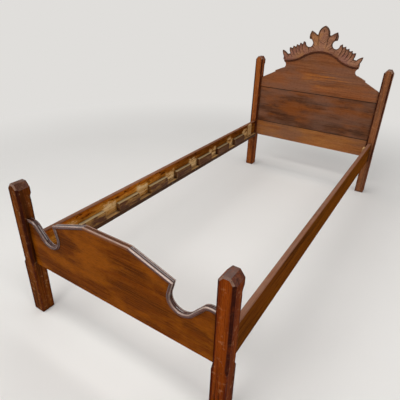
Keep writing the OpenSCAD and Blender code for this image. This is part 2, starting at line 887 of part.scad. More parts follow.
// A plate with two hooks, let into the end of the rail on the right
module hook_plate(dir, side) {
    color("#2f2c2a")
    mirror([side < 0 ? 1 : 0, 0, 0])
    difference() {
        union() {
            translate([rail_mid - plate_w / 2, dir * (post_face - plate_t / 2) - plate_t / 2,
                       plate_z - plate_l / 2])
                cube([plate_w, plate_t, plate_l]);
            for (k = SIDES)
                translate([rail_mid, dir * post_face, plate_z + k * hook_pitch / 2])
                    rotate([0, 0, dir * 90])
                        rotate([90, 0, 0])
                            translate([0, 0, -hook_t / 2])
                                linear_extrude(hook_t) hook_outline();
        }
        plate_screws_at(dir) wood_screw(plate_screw_l);
    }
}

module hook_pins(dir, side) {
    color("#4c4945")
    mirror([side < 0 ? 1 : 0, 0, 0])
        pins_at(dir) cylinder(d = pin_d, h = pin_l);
}

// Places of the three screws of a plate on the right
module plate_screws_at(dir) {
    for (z = [plate_screw_in, plate_l / 2, plate_l - plate_screw_in])
        translate([rail_mid, dir * post_face, plate_z - plate_l / 2 + z])
            rotate([-90 * dir, 0, 0]) children();
}

module plate_screws() {
    color("#8a8378")
    both()
        for (dir = SIDES)
            plate_screws_at(dir) wood_screw(plate_screw_l);
}

// ---- Drawing ----

for (s = [0, 1]) {
    foot_post(SIDES[s]);
    head_post(SIDES[s]);
    cap_slope(SIDES[s]);
    cap_scroll(SIDES[s]);
    cap_end(SIDES[s]);
    side_rail(SIDES[s]);
    ledger(SIDES[s]);
    slat_stop(SIDES[s]);
    hook_plate(-1, SIDES[s]);
    hook_plate(1, SIDES[s]);
    hook_pins(-1, SIDES[s]);
    hook_pins(1, SIDES[s]);
    ledger_screws(SIDES[s]);
    for (i = [1:BLOCKS])
        slat_block(SIDES[s], i);
}
footboard_panel();
cap_flat();
headboard_lower_board();
headboard_middle_board();
headboard_upper_board();
crest_plate();
crest_moulding();
crest_screws();
plate_screws();
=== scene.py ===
"""Antique single bed frame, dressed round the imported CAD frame.

Metres throughout. X runs across the bed, Y from the foot to the head and Z up. The
origin lies on the floor below the middle of the frame, and the foot stands at -Y.
Colours are written as six hexadecimal digits.
"""
import logging
import math
import random
from dataclasses import dataclass, replace
from enum import Enum
from typing import Callable, Sequence, Union

import bmesh
import bpy
import numpy as np
from mathutils import Matrix, Vector, geometry


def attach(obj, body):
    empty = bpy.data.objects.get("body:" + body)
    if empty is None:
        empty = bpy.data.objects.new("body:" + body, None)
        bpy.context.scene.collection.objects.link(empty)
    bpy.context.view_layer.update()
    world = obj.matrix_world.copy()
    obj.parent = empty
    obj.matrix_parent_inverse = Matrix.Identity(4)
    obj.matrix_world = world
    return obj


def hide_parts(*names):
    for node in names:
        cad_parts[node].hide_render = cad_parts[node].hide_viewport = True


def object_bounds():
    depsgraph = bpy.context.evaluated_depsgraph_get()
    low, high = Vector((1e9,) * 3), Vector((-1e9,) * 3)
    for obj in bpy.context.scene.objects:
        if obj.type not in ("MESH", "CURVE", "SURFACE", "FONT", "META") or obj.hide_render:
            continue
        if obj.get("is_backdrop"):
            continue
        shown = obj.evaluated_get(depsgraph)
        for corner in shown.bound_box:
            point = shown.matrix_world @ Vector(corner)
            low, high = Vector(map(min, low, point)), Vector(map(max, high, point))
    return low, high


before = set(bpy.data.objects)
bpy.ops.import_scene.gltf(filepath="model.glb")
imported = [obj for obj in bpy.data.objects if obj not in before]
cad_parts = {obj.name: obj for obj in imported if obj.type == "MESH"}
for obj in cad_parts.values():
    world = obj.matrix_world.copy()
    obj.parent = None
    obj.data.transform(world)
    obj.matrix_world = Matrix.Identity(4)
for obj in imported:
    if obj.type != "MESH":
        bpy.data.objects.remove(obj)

LOG = logging.getLogger("bed_frame")
MM = 0.001
BODY = "root"
SIDES = {"left": -1, "right": 1}
ENDS = {"foot": -1, "head": 1}
CORNER_GAP = 0.01 * MM
FLAT_ANGLE = 0.6
EDGE_ANGLE = 32.0

Point = tuple[float, float, float]
Flat = tuple[float, float]
Stain = tuple[str, str]
Field = np.ndarray
Feed = Union["Wire", str, float, Sequence[float]]


# ---- Small tools ----


def srgb(code: str) -> Point:
    """Turns a colour code into linear red, green and blue."""
    parts = [int(code[i:i + 2], 16) / 255 for i in (0, 2, 4)]
    return tuple(p / 12.92 if p <= 0.04045 else ((p + 0.055) / 1.055) ** 2.4 for p in parts)


def new_object(name: str, data: bpy.types.ID) -> bpy.types.Object:
    """Puts a mesh, a lamp or a camera into the scene.

    Args:
        name: The name of the object and its data.
        data: The mesh, lamp or camera.

    Returns:
        The new object, at the origin.
    """
    data.name = name
    obj = bpy.data.objects.new(name, data)
    bpy.context.scene.collection.objects.link(obj)
    return obj


def mesh_of(points: Sequence[Point], faces: Sequence[Sequence[int]],
            split: bool = False) -> bpy.types.Mesh:
    """Makes a mesh with outward normals from points and faces.

    Args:
        points: The corner points.
        faces: The faces as lists of point numbers.
        split: Whether faces with more than four corners are cut into triangles.

    Returns:
        The new mesh.
    """
    mesh = bpy.data.meshes.new("shape")
    mesh.from_pydata([tuple(p) for p in points], [], [tuple(f) for f in faces])
    work = bmesh.new()
    work.from_mesh(mesh)
    bmesh.ops.recalc_face_normals(work, faces=work.faces)
    if split:
        bmesh.ops.triangulate(work, faces=[f for f in work.faces if len(f.verts) > 4])
    work.to_mesh(mesh)
    work.free()
    return mesh


def lofted(rings: Sequence[Sequence[Point]], split: bool = False) -> bpy.types.Mesh:
    """Joins rings of points to a closed body with flat ends.

    Args:
        rings: The rings in order, each with as many points.
        split: Whether the flat ends are cut into triangles.

    Returns:
        The new mesh.
    """
    n, last = len(rings[0]), len(rings) - 1
    faces = [[k * n + i, k * n + (i + 1) % n, (k + 1) * n + (i + 1) % n, (k + 1) * n + i]
             for k in range(last) for i in range(n)]
    faces += [list(range(n)), list(range(last * n, (last + 1) * n))]
    return mesh_of([point for ring in rings for point in ring], faces, split)


def shade(mesh: bpy.types.Mesh, angle: float) -> None:
    """Shades a mesh smooth and keeps edges above an angle in degrees sharp."""
    mesh.polygons.foreach_set("use_smooth", [True] * len(mesh.polygons))
    mesh.set_sharp_from_angle(angle=math.radians(angle))


def arc(middle: Flat, radius: float, start: float, turn: float,
        steps: int) -> list[tuple[Flat, Flat]]:
    """Walks along an arc.

    Args:
        middle: The middle of its circle.
        radius: The radius.
        start: The angle of the first point in radians.
        turn: The angle that the arc fills.
        steps: The number of steps.

    Returns:
        The points, each with its direction as seen from the middle.
    """
    angles = [start + i * turn / steps for i in range(steps + 1)]
    ways = [(math.cos(a), math.sin(a)) for a in angles]
    return [((middle[0] + radius * c, middle[1] + radius * s), (c, s)) for c, s in ways]


# ---- Shader tools ----


@dataclass(frozen=True)
class Sheet:
    """A node tree with short calls that add nodes."""

    tree: bpy.types.NodeTree

    @classmethod
    def cleared(cls, owner: Union[bpy.types.Material, bpy.types.World]) -> "Sheet":
        """Clears the nodes of a material or of the world.

        Args:
            owner: The material or world.

        Returns:
            Its empty sheet.
        """
        owner.use_nodes = True
        owner.node_tree.nodes.clear()
        return cls(owner.node_tree)

    @classmethod
    def group(cls, name: str, inputs: dict[str, float | None]) -> tuple["Sheet", "Placed"]:
        """Starts a node group.

        Args:
            name: The name of the group.
            inputs: The inputs' default values by name, None for a vector.

        Returns:
            The sheet of the group and its input node.
        """
        tree = bpy.data.node_groups.new(name, "ShaderNodeTree")
        for label, value in inputs.items():
            kind = "NodeSocketVector" if value is None else "NodeSocketFloat"
            socket = tree.interface.new_socket(name=label, in_out="INPUT", socket_type=kind)
            if value is not None:
                socket.default_value = value
        sheet = cls(tree)
        return sheet, Placed(sheet, tree.nodes.new("NodeGroupInput"))

    def give(self, **outputs: "Wire") -> bpy.types.NodeTree:
        """Ends a node group with its outputs.

        Args:
            **outputs: The plain values that the group puts out.

        Returns:
            The group.
        """
        for label in outputs:
            self.tree.interface.new_socket(name=label, in_out="OUTPUT",
                                           socket_type="NodeSocketFloat")
        out = self.tree.nodes.new("NodeGroupOutput")
        for label, value in outputs.items():
            self.feed(out.inputs[label], value)
        return self.tree

    def feed(self, socket: bpy.types.NodeSocket, value: Feed) -> None:
        """Links a socket to a wire, or writes a plain value on it.

        Args:
            socket: The input socket.
            value: A wire, a colour code, a number or a tuple.
        """
        if isinstance(value, Wire):
            self.tree.links.new(value.socket, socket)
        elif isinstance(value, str):
            socket.default_value = (*srgb(value), 1.0)
        else:
            socket.default_value = value

    def add(self, kind: str, feeds: dict[Union[str, int], Feed] | None = None,
            **settings: object) -> "Placed":
        """Adds a node.

        Args:
            kind: The node's type name without its first part, ShaderNode.
            feeds: What goes into its inputs, by name or number.
            **settings: Properties to set on the node.

        Returns:
            The placed node.
        """
        node = self.tree.nodes.new(f"ShaderNode{kind}")
        for key, value in settings.items():
            setattr(node, key, value)
        for key, value in (feeds or {}).items():
            self.feed(node.inputs[key], value)
        return Placed(self, node)

    def facing(self, normal: str = "Normal") -> list["Wire"]:
        """Returns the parts of the surface's normal, or of its True Normal."""
        return self.add("NewGeometry")[normal].axes()


@dataclass(frozen=True)
class Placed:
    """A node on its sheet."""

    sheet: Sheet
    node: bpy.types.Node

    def __getitem__(self, key: Union[str, int]) -> "Wire":
        """Returns an output by its name or number."""
        return Wire(self.sheet, self.node.outputs[key])


@dataclass(frozen=True)
class Wire:
    """A node's output. To reckon with it adds further nodes to its sheet."""

    sheet: Sheet
    socket: bpy.types.NodeSocket

    def calc(self, operation: str, *others: Feed, clamp: bool = False) -> "Wire":
        """Adds a Math node.

        Args:
            operation: The node's operation.
            *others: The inputs that follow this one.
            clamp: Whether the result is held between 0 and 1.

        Returns:
            The result.
        """
        return self.sheet.add("Math", dict(enumerate((self, *others))), operation=operation,
                              use_clamp=clamp)[0]

    def vector(self, operation: str, *others: Feed, out: str = "Vector") -> "Wire":
        """Adds a Vector Math node.

        Args:
            operation: The node's operation.
            *others: The inputs that follow this one.
            out: The output to take, Vector or Value.

        Returns:
            The result.
        """
        return self.sheet.add("VectorMath", dict(enumerate((self, *others))),
                              operation=operation)[out]

    def __add__(self, other: Feed) -> "Wire":
        """Adds another value."""
        return self.calc("ADD", other)

    def __sub__(self, other: Feed) -> "Wire":
        """Takes another value away."""
        return self.calc("SUBTRACT", other)

    def __mul__(self, other: Feed) -> "Wire":
        """Multiplies by another value."""
        return self.calc("MULTIPLY", other)

    def __truediv__(self, other: Feed) -> "Wire":
        """Divides by another value."""
        return self.calc("DIVIDE", other)

    def __abs__(self) -> "Wire":
        """Drops the sign."""
        return self.calc("ABSOLUTE")

    def rest(self) -> "Wire":
        """Returns what is missing to 1."""
        return self.sheet.add("Math", {0: 1.0, 1: self}, operation="SUBTRACT")[0]

    def away_from(self, marks: Flat) -> "Wire":
        """Returns the distance to the nearer of two marks."""
        return abs(self - marks[0]).calc("MINIMUM", abs(self - marks[1]))

    def span(self, lo: float, hi: float, to_lo: float = 0.0, to_hi: float = 1.0) -> "Wire":
        """Maps the value smoothly from one span to another.

        Args:
            lo: The start of the span it comes from.
            hi: The end of the span it comes from.
            to_lo: What lo becomes.
            to_hi: What hi becomes.

        Returns:
            The mapped value.
        """
        return self.sheet.add("MapRange", {"Value": self, "From Min": lo, "From Max": hi,
                                           "To Min": to_lo, "To Max": to_hi},
                              interpolation_type="SMOOTHSTEP")["Result"]

    def between(self, first: Feed, second: Feed) -> "Wire":
        """Mixes two colours, with this value as the share of the second."""
        return self.sheet.add("Mix", {0: self, 6: first, 7: second}, data_type="RGBA")[2]

    def axes(self) -> list["Wire"]:
        """Returns the three parts of a vector."""
        parts = self.sheet.add("SeparateXYZ", {0: self})
        return [parts[i] for i in range(3)]

    def noise(self, detail: float, rough: float = 0.5, scale: float = 1.0,
              drawn: Feed = ()) -> Placed:
        """Adds a Noise node that is read at this vector.

        Args:
            detail: The number of finer layers.
            rough: The weight of the finer layers.
            scale: The scale of the noise.
            drawn: A further scale for each axis, or nothing.

        Returns:
            The placed node.
        """
        place = self.vector("MULTIPLY", drawn) if drawn else self
        return self.sheet.add("TexNoise", {"Vector": place, "Scale": scale, "Detail": detail,
                                           "Roughness": rough})


@dataclass(frozen=True)
class Effects:
    """The shader node groups that the finishes share."""

    figure: bpy.types.NodeTree
    wear: bpy.types.NodeTree
    recess_shade: bpy.types.NodeTree
    dust: bpy.types.NodeTree

    @classmethod
    def make(cls) -> "Effects":
        """Builds each group once."""
        return cls(cls.timber_figure(), cls.edge_wear(), cls.dirt_and_painted_shade(), cls.settled_dust())

    @staticmethod
    def timber_figure() -> bpy.types.NodeTree:
        """Builds the figure of sawn timber, with its grain along X.

        Returns:
            A group that puts out rings, streaks, fibre, pores, patches and a height.
        """
        sheet, given = Sheet.group("timber figure", {
            "Position": None, "Heart": None, "Ring Gap": 0.006, "Wander": 0.03,
            "Patch Scale": None})
        place = given["Position"]
        drift = place.noise(2.0, drawn=(1.3, 5.0, 5.0))["Color"]
        drift = drift.vector("SUBTRACT", (0.5, 0.5, 0.5)).vector("MULTIPLY", given["Wander"])
        _, wide, deep = place.vector("SUBTRACT", given["Heart"]).vector("ADD", drift).axes()
        radius = (wide.calc("POWER", 2.0) + deep.calc("POWER", 2.0)).calc("SQRT")
        fine = place.noise(4.0, 0.6, drawn=(3.0, 45.0, 45.0))["Fac"]
        part = (radius / given["Ring Gap"] + fine * 1.3).calc("FRACT")
        rings = (part / 0.82).calc("MINIMUM", part.rest() / 0.18, clamp=True)
        broad = place.noise(4.0, 0.6, drawn=(1.1, 24.0, 24.0))["Fac"]
        close = place.noise(4.0, 0.65, drawn=(2.4, 130.0, 130.0))["Fac"]
        fibre = place.noise(4.0, 0.7, drawn=(6.0, 600.0, 600.0))["Fac"]
        pores = place.noise(2.0, drawn=(48.0, 1100.0, 1100.0))["Fac"].span(0.57, 0.66)
        patches = place.noise(6.0, 0.62, drawn=given["Patch Scale"])["Fac"]
        return sheet.give(Rings=rings.calc("POWER", 2.2),
                          Streaks=(broad * 0.55 + close * 0.45).span(0.38, 0.62),
                          Fibre=fibre, Pores=pores, Patches=patches.span(0.44, 0.60),
                          Height=pores * -0.8 + fibre * 0.6)

    @staticmethod
    def edge_wear() -> bpy.types.NodeTree:
        """Builds a mask of rubbed edges, broken up by noise.

        Returns:
            A group that puts out the mask.
        """
        sheet, given = Sheet.group("edge wear",
                                   {"Position": None, "Reach": 0.0015, "Amount": 0.5})
        soft = sheet.add("Bevel", {"Radius": given["Reach"]}, samples=4)[0]
        true = sheet.add("NewGeometry")["Normal"]
        edge = soft.vector("DOT_PRODUCT", true, out="Value").span(0.995, 0.86)
        broken = given["Position"].noise(4.0, 0.65, 34.0)["Fac"].span(0.36, 0.62)
        return sheet.give(Worn=(edge * broken).calc("MULTIPLY", given["Amount"], clamp=True))

    @staticmethod
    def dirt_and_painted_shade() -> bpy.types.NodeTree:
        """Builds a mask of dirt and painted shade in corners and hollows.

        Returns:
            A group that puts out the mask.
        """
        sheet, given = Sheet.group("dark recess",
                                   {"Position": None, "Reach": 0.02, "Amount": 0.5})
        # Ambient occlusion: the darkening in corners and hollows is painted shade as well as
        # dirt.
        hollow = sheet.add("AmbientOcclusion", {"Distance": given["Reach"]}, samples=6)["AO"]
        cloud = given["Position"].noise(3.0, 0.6, 22.0)["Fac"]
        share = hollow.span(0.95, 0.45) * cloud.span(0.2, 0.7, 0.55, 1.0)
        return sheet.give(Grime=share.calc("MULTIPLY", given["Amount"], clamp=True))

    @staticmethod
    def settled_dust() -> bpy.types.NodeTree:
        """Builds a thin uneven dust on the faces that look up.

        Returns:
            A group that puts out the mask.
        """
        sheet, given = Sheet.group("settled dust", {"Position": None, "Amount": 0.2})
        cloud = given["Position"].noise(6.0, 0.7, 18.0)["Fac"]
        share = sheet.facing()[2].span(0.55, 0.98) * cloud.span(0.3, 0.72)
        return sheet.give(Dust=share.calc("MULTIPLY", given["Amount"], clamp=True))


# ---- Finishes ----

PORE = "120904"
# Dark colour laid into corners and hollows: dirt and painted shade.
GRIME_AND_SHADE = "0d0704"
DUST = "a8a097"


class Grain(Enum):
    """The axis along which the grain of a board runs."""

    ACROSS = (0, 1, 2)
    ALONG = (1, 0, 2)
    UPRIGHT = (2, 0, 1)


@dataclass(frozen=True)
class Layer:
    """A timber under way: its place, its placed figure group and its colour so far."""

    sheet: Sheet
    place: Wire
    figure: Placed
    colour: Wire


@dataclass(frozen=True)
class Timber:
    """A stained and varnished timber, or a bare one where it has no coat."""

    grain: Grain
    dark: str
    mid: str
    light: str
    worn: str
    heart: Point = (0.0, 0.05, 0.08)
    ring_gap: float = 0.007
    wander: float = 0.03
    ring_share: float = 0.55
    light_share: float = 0.55
    patch: str = ""
    patch_share: float = 0.0
    patch_scale: Point = (2.6, 10.0, 10.0)
    glow: str = ""
    glow_at: Point = (0.0, 0.0, 0.0)
    glow_size: Point = (0.1, 0.1, 0.1)
    # top: colour of a painted sheen and top light on faces that look up.
    top: str = ""
    top_sheen_share: float = 0.0
    roughness: float = 0.42
    rough_spread: float = 0.16
    specular: float = 0.1
    coat: float = 0.05
    edge_coat: float = 0.0
    coat_roughness: float = 0.12
    coat_ior: float = 1.5
    varnish: str = "ffd6a8"
    wear: float = 0.5
    wear_reach: float = 0.0016
    grime_and_shade: float = 0.7
    grime_and_shade_reach: float = 0.018
    dust: float = 0.12
    bump: float = 0.25
    bump_depth: float = 0.4 * MM

    def stained(self, sheet: Sheet, effects: Effects) -> Layer:
        """Lays the figure along the grain and colours it with the stain.

        Args:
            sheet: The material's sheet.
            effects: The shared groups.

        Returns:
            The timber so far.
        """
        place = sheet.add("TexCoord")["Object"]
        axes = place.axes()
        turned = sheet.add("CombineXYZ", {i: axes[k] for i, k in enumerate(self.grain.value)})
        figure = sheet.add("Group", {
            "Position": turned[0], "Heart": [self.heart[k] for k in self.grain.value],
            "Ring Gap": self.ring_gap, "Wander": self.wander,
            "Patch Scale": self.patch_scale}, node_tree=effects.figure)
        colour = figure["Streaks"].between(self.dark, self.mid)
        colour = (figure["Rings"] * self.ring_share).between(colour, self.dark)
        if self.patch_share:
            colour = (figure["Patches"] * self.patch_share).between(colour, self.patch)
        if self.glow:
            away = place.vector("SUBTRACT", self.glow_at).vector("DIVIDE", self.glow_size)
            near = away.vector("LENGTH", out="Value").span(1.0, 0.15)
            glow = near * (figure["Streaks"] + figure["Patches"]).span(0.3, 1.5)
            colour = glow.between(colour, self.glow)
        bright = figure["Fibre"].span(0.42, 0.68, 0.0, self.light_share)
        return Layer(sheet, place, figure, bright.between(colour, self.light))

    def material(self, name: str, effects: Effects,
                 over: Callable[[Layer], Wire] | None = None) -> bpy.types.Material:
        """Builds the material.

        Args:
            name: The name of the material.
            effects: The shared groups.
            over: Lays a further colour over the timber.

        Returns:
            The material.
        """
        material = bpy.data.materials.new(name)
        sheet = Sheet.cleared(material)
        timber = self.stained(sheet, effects)
        place, figure = timber.place, timber.figure
        colour = over(timber) if over else timber.colour
        colour = figure["Fibre"].span(0.46, 0.30, 0.0, 0.4).between(colour, self.dark)
        colour = (figure["Pores"] * 0.55).between(colour, PORE)
        # Painted sheen and top light: faces that look up take the top colour.
        if self.top_sheen_share:
            sheen_up = sheet.facing("True Normal")[2].span(0.4, 0.8)
            uneven = figure["Streaks"].span(0.0, 1.0, 0.6, 1.0)
            colour = (sheen_up * uneven * self.top_sheen_share).between(colour, self.top)
        worn = sheet.add("Group", {"Position": place, "Reach": self.wear_reach,
                                   "Amount": self.wear}, node_tree=effects.wear)[0]
        grime_and_shade = sheet.add("Group", {"Position": place, "Reach": self.grime_and_shade_reach,
                                    "Amount": self.grime_and_shade}, node_tree=effects.recess_shade)[0]
        dust = sheet.add("Group", {"Position": place, "Amount": self.dust},
                         node_tree=effects.dust)[0]
        # The recess mask lays dirt and painted shade into corners and hollows.
        for mask, tint in ((worn, self.worn), (grime_and_shade, GRIME_AND_SHADE), (dust, DUST)):
            colour = mask.between(colour, tint)
        half = self.rough_spread / 2
        rough = place.noise(4.0, 0.6, 14.0)["Fac"].span(
            0.3, 0.7, self.roughness - half, self.roughness + half)
        rough = rough.calc("ADD", dust * 0.6, clamp=True).calc("ADD", worn * 0.2, clamp=True)
        bump = sheet.add("Bump", {"Height": figure["Height"], "Strength": self.bump,
                                  "Distance": self.bump_depth})
        feeds = {"Base Color": colour, "Roughness": rough, "Normal": bump[0],
                 "Specular IOR Level": self.specular, "Specular Tint": self.varnish,
                 "Coat Roughness": self.coat_roughness, "Coat IOR": self.coat_ior}
        if self.coat:
            clean = grime_and_shade.rest() * sheet.facing()[2].span(-0.45, 0.15, 0.04, 1.0)
            feeds["Coat Weight"] = worn.span(0.0, 1.0, self.coat, self.edge_coat) * clean
        sheet.add("OutputMaterial", {"Surface": sheet.add("BsdfPrincipled", feeds)[0]})
        return material


@dataclass(frozen=True)
class Iron:
    """Dull dark iron or old steel with patches of rust."""

    base: str
    rust: str
    metallic: float
    roughness: float
    rust_share: float
    rough_rise: float = 0.3
    pits: str = "0b0a09"
    bright: str = "8d8a84"
    wear: float = 0.6
    wear_reach: float = 0.6 * MM
    bump: float = 0.3
    bump_depth: float = 0.3 * MM

    def material(self, name: str, effects: Effects) -> bpy.types.Material:
        """Builds the material.

        Args:
            name: The name of the material.
            effects: The shared groups.

        Returns:
            The material.
        """
        material = bpy.data.materials.new(name)
        sheet = Sheet.cleared(material)
        place = sheet.add("TexCoord")["Object"]
        cloud = place.noise(6.0, 0.7, 90.0)["Fac"]
        rusted = cloud.span(0.42, 0.62) * self.rust_share
        speck = place.noise(3.0, 0.6, 700.0)["Fac"]
        colour = rusted.between((speck * 0.5).between(self.base, self.pits), self.rust)
        worn = sheet.add("Group", {"Position": place, "Reach": self.wear_reach,
                                   "Amount": self.wear}, node_tree=effects.wear)[0]
        bump = sheet.add("Bump", {"Height": speck, "Strength": self.bump,
                                  "Distance": self.bump_depth})
        shader = sheet.add("BsdfPrincipled", {
            "Base Color": worn.between(colour, self.bright),
            "Metallic": rusted.rest() * self.metallic,
            "Roughness": cloud.span(0.35, 0.65, self.roughness,
                                    self.roughness + self.rough_rise),
            "Normal": bump[0]})
        sheet.add("OutputMaterial", {"Surface": shader[0]})
        return material


# ---- Making and dressing pieces ----


def dress(obj: bpy.types.Object, material: bpy.types.Material) -> None:
    """Puts one material on an object."""
    obj.data.materials.clear()
    obj.data.materials.append(material)


def ease_edges(obj: bpy.types.Object, width: float) -> None:
    """Rounds the hard edges of a piece with modifiers.

    Args:
        obj: The piece.
        width: The width of the rounding.
    """
    steps = {
        "join corners": ("WELD", {"merge_threshold": CORNER_GAP}),
        "join flat faces": ("DECIMATE", {"decimate_type": "DISSOLVE",
                                         "angle_limit": math.radians(FLAT_ANGLE)}),
        "eased edges": ("BEVEL", {"width": width, "segments": 2, "limit_method": "ANGLE",
                                  "angle_limit": math.radians(EDGE_ANGLE),
                                  "use_clamp_overlap": True}),
        "even shading": ("WEIGHTED_NORMAL", {"keep_sharp": True})}
    for label, (kind, settings) in steps.items():
        step = obj.modifiers.new(label, kind)
        for key, value in settings.items():
            setattr(step, key, value)


def keep(name: str, mesh: bpy.types.Mesh, material: bpy.types.Material,
         nodes: Sequence[str]) -> bpy.types.Object:
    """Puts a finished mesh in the place of CAD nodes.

    Args:
        name: The name of the piece.
        mesh: Its mesh.
        material: Its material.
        nodes: The CAD nodes that it stands for.

    Returns:
        The piece.
    """
    piece = new_object(name, mesh)
    dress(piece, material)
    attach(piece, BODY)
    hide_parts(*nodes)
    LOG.info("%s stands for %s, %d faces", name, ", ".join(nodes), len(mesh.polygons))
    return piece


def dress_node(name: str, material: bpy.types.Material, ease: float = 0.0) -> None:
    """Dresses a CAD node that stays in view.

    Args:
        name: The node's name.
        material: Its material.
        ease: The width of the rounding of its edges, or 0 for none.
    """
    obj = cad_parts[name]
    dress(obj, material)
    if ease:
        ease_edges(obj, ease)
    LOG.info("%s dressed", name)


# ---- Posts, footboard and headboard ----


@dataclass
class Posts:
    """The four square posts with clipped tops."""

    half_pitch: Flat = (435 * MM, 1000 * MM)
    tops: Flat = (592 * MM, 832 * MM)
    clip_reach: float = 40 * MM
    edge_from: float = 12 * MM
    edge_to: float = 24 * MM
    ease: float = 2.0 * MM
    # Dark colour of the upright chamfers: grime and painted shade.
    chamfer_shade: str = "32120a"
    gathered: str = "4a1404"
    # Pale colour of the blotches on the faces: scuffs and painted highlights.
    scuff_and_highlight: str = "b8845c"
    # Pale colour of the painted highlight on the clipped faces round the top.
    rubbed: str = "b08c78"

    def build(self, effects: Effects) -> None:
        """Dresses each post in its own cut of the same timber; the foot left one is darker,
        partly as painted shade.

        Args:
            effects: The shared groups.
        """
        # The foot left post's stain is darker than the foot right's: partly painted shade.
        stains = {("foot", "left"): ("280e02", "6a300a", "8e4e1e", "1e0a04", "82440c"),
                  ("foot", "right"): ("280900", "722a04", "a45018", "1e0a04", "96440a"),
                  ("head", "left"): ("421a0a", "944a20", "b26e3e", "2c1208", "ac5c1e"),
                  ("head", "right"): ("54301e", "8c5638", "ac7a58", "3c2014", "9c5c30")}
        for (end, side), (dark, mid, light, worn, patch) in stains.items():
            heart = (SIDES[side] * self.half_pitch[0] - 0.07,
                     ENDS[end] * self.half_pitch[1] - 0.015, 0.0)
            timber = Timber(Grain.UPRIGHT, dark, mid, light, worn, heart=heart,
                            ring_gap=0.013, ring_share=0.7, patch=patch, patch_share=0.6,
                            patch_scale=(2.0, 40.0, 40.0), top="5a4a46", top_sheen_share=0.85,
                            wear=0.7, wear_reach=0.003, coat=0.06, edge_coat=0.6,
                            specular=0.0)
            wood = timber.material(f"{end} post {side}", effects, self.handled)
            dress_node(f"{end}_post_{side}", wood, self.ease)

    def handled(self, timber: Layer) -> Wire:
        """Darkens the edges, adds pale scuffs and highlights, and paints chamfer shade and a top
        highlight.

        Args:
            timber: The timber so far.

        Returns:
            The new colour.
        """
        across, along, up = timber.sheet.facing("True Normal")
        at = timber.place.axes()
        cloud = timber.place.noise(4.0, 0.6, 30.0)["Fac"]
        off = [abs(abs(at[i]) - self.half_pitch[i]) for i in (0, 1)]
        near = off[0].calc("MINIMUM", off[1]).span(self.edge_from, self.edge_to)
        near = near * cloud.span(0.3, 0.62, 0.3, 0.75)
        colour = near.between(timber.colour, self.gathered)
        # Pale blotches on the faces: scuffs and painted highlights.
        scuff_highlight_share = timber.place.noise(5.0, 0.7, 42.0)["Fac"].span(0.54, 0.70, 0.0, 0.4)
        colour = scuff_highlight_share.between(colour, self.scuff_and_highlight)
        # Upright chamfers darkened by their facing: grime and painted shade.
        dark = abs(across * along).span(0.12, 0.4) * cloud.span(0.3, 0.6, 0.45, 0.9)
        colour = dark.between(colour, self.chamfer_shade)
        # Painted highlight: the clipped faces round the top, facing forward and up, turn pale.
        clip = abs(along * up) * at[2].away_from(self.tops).calc("LESS_THAN", self.clip_reach)
        pale = clip.span(0.12, 0.4) * timber.figure["Fibre"].span(0.3, 0.6, 0.3, 0.9)
        return pale.between(colour, self.rubbed)


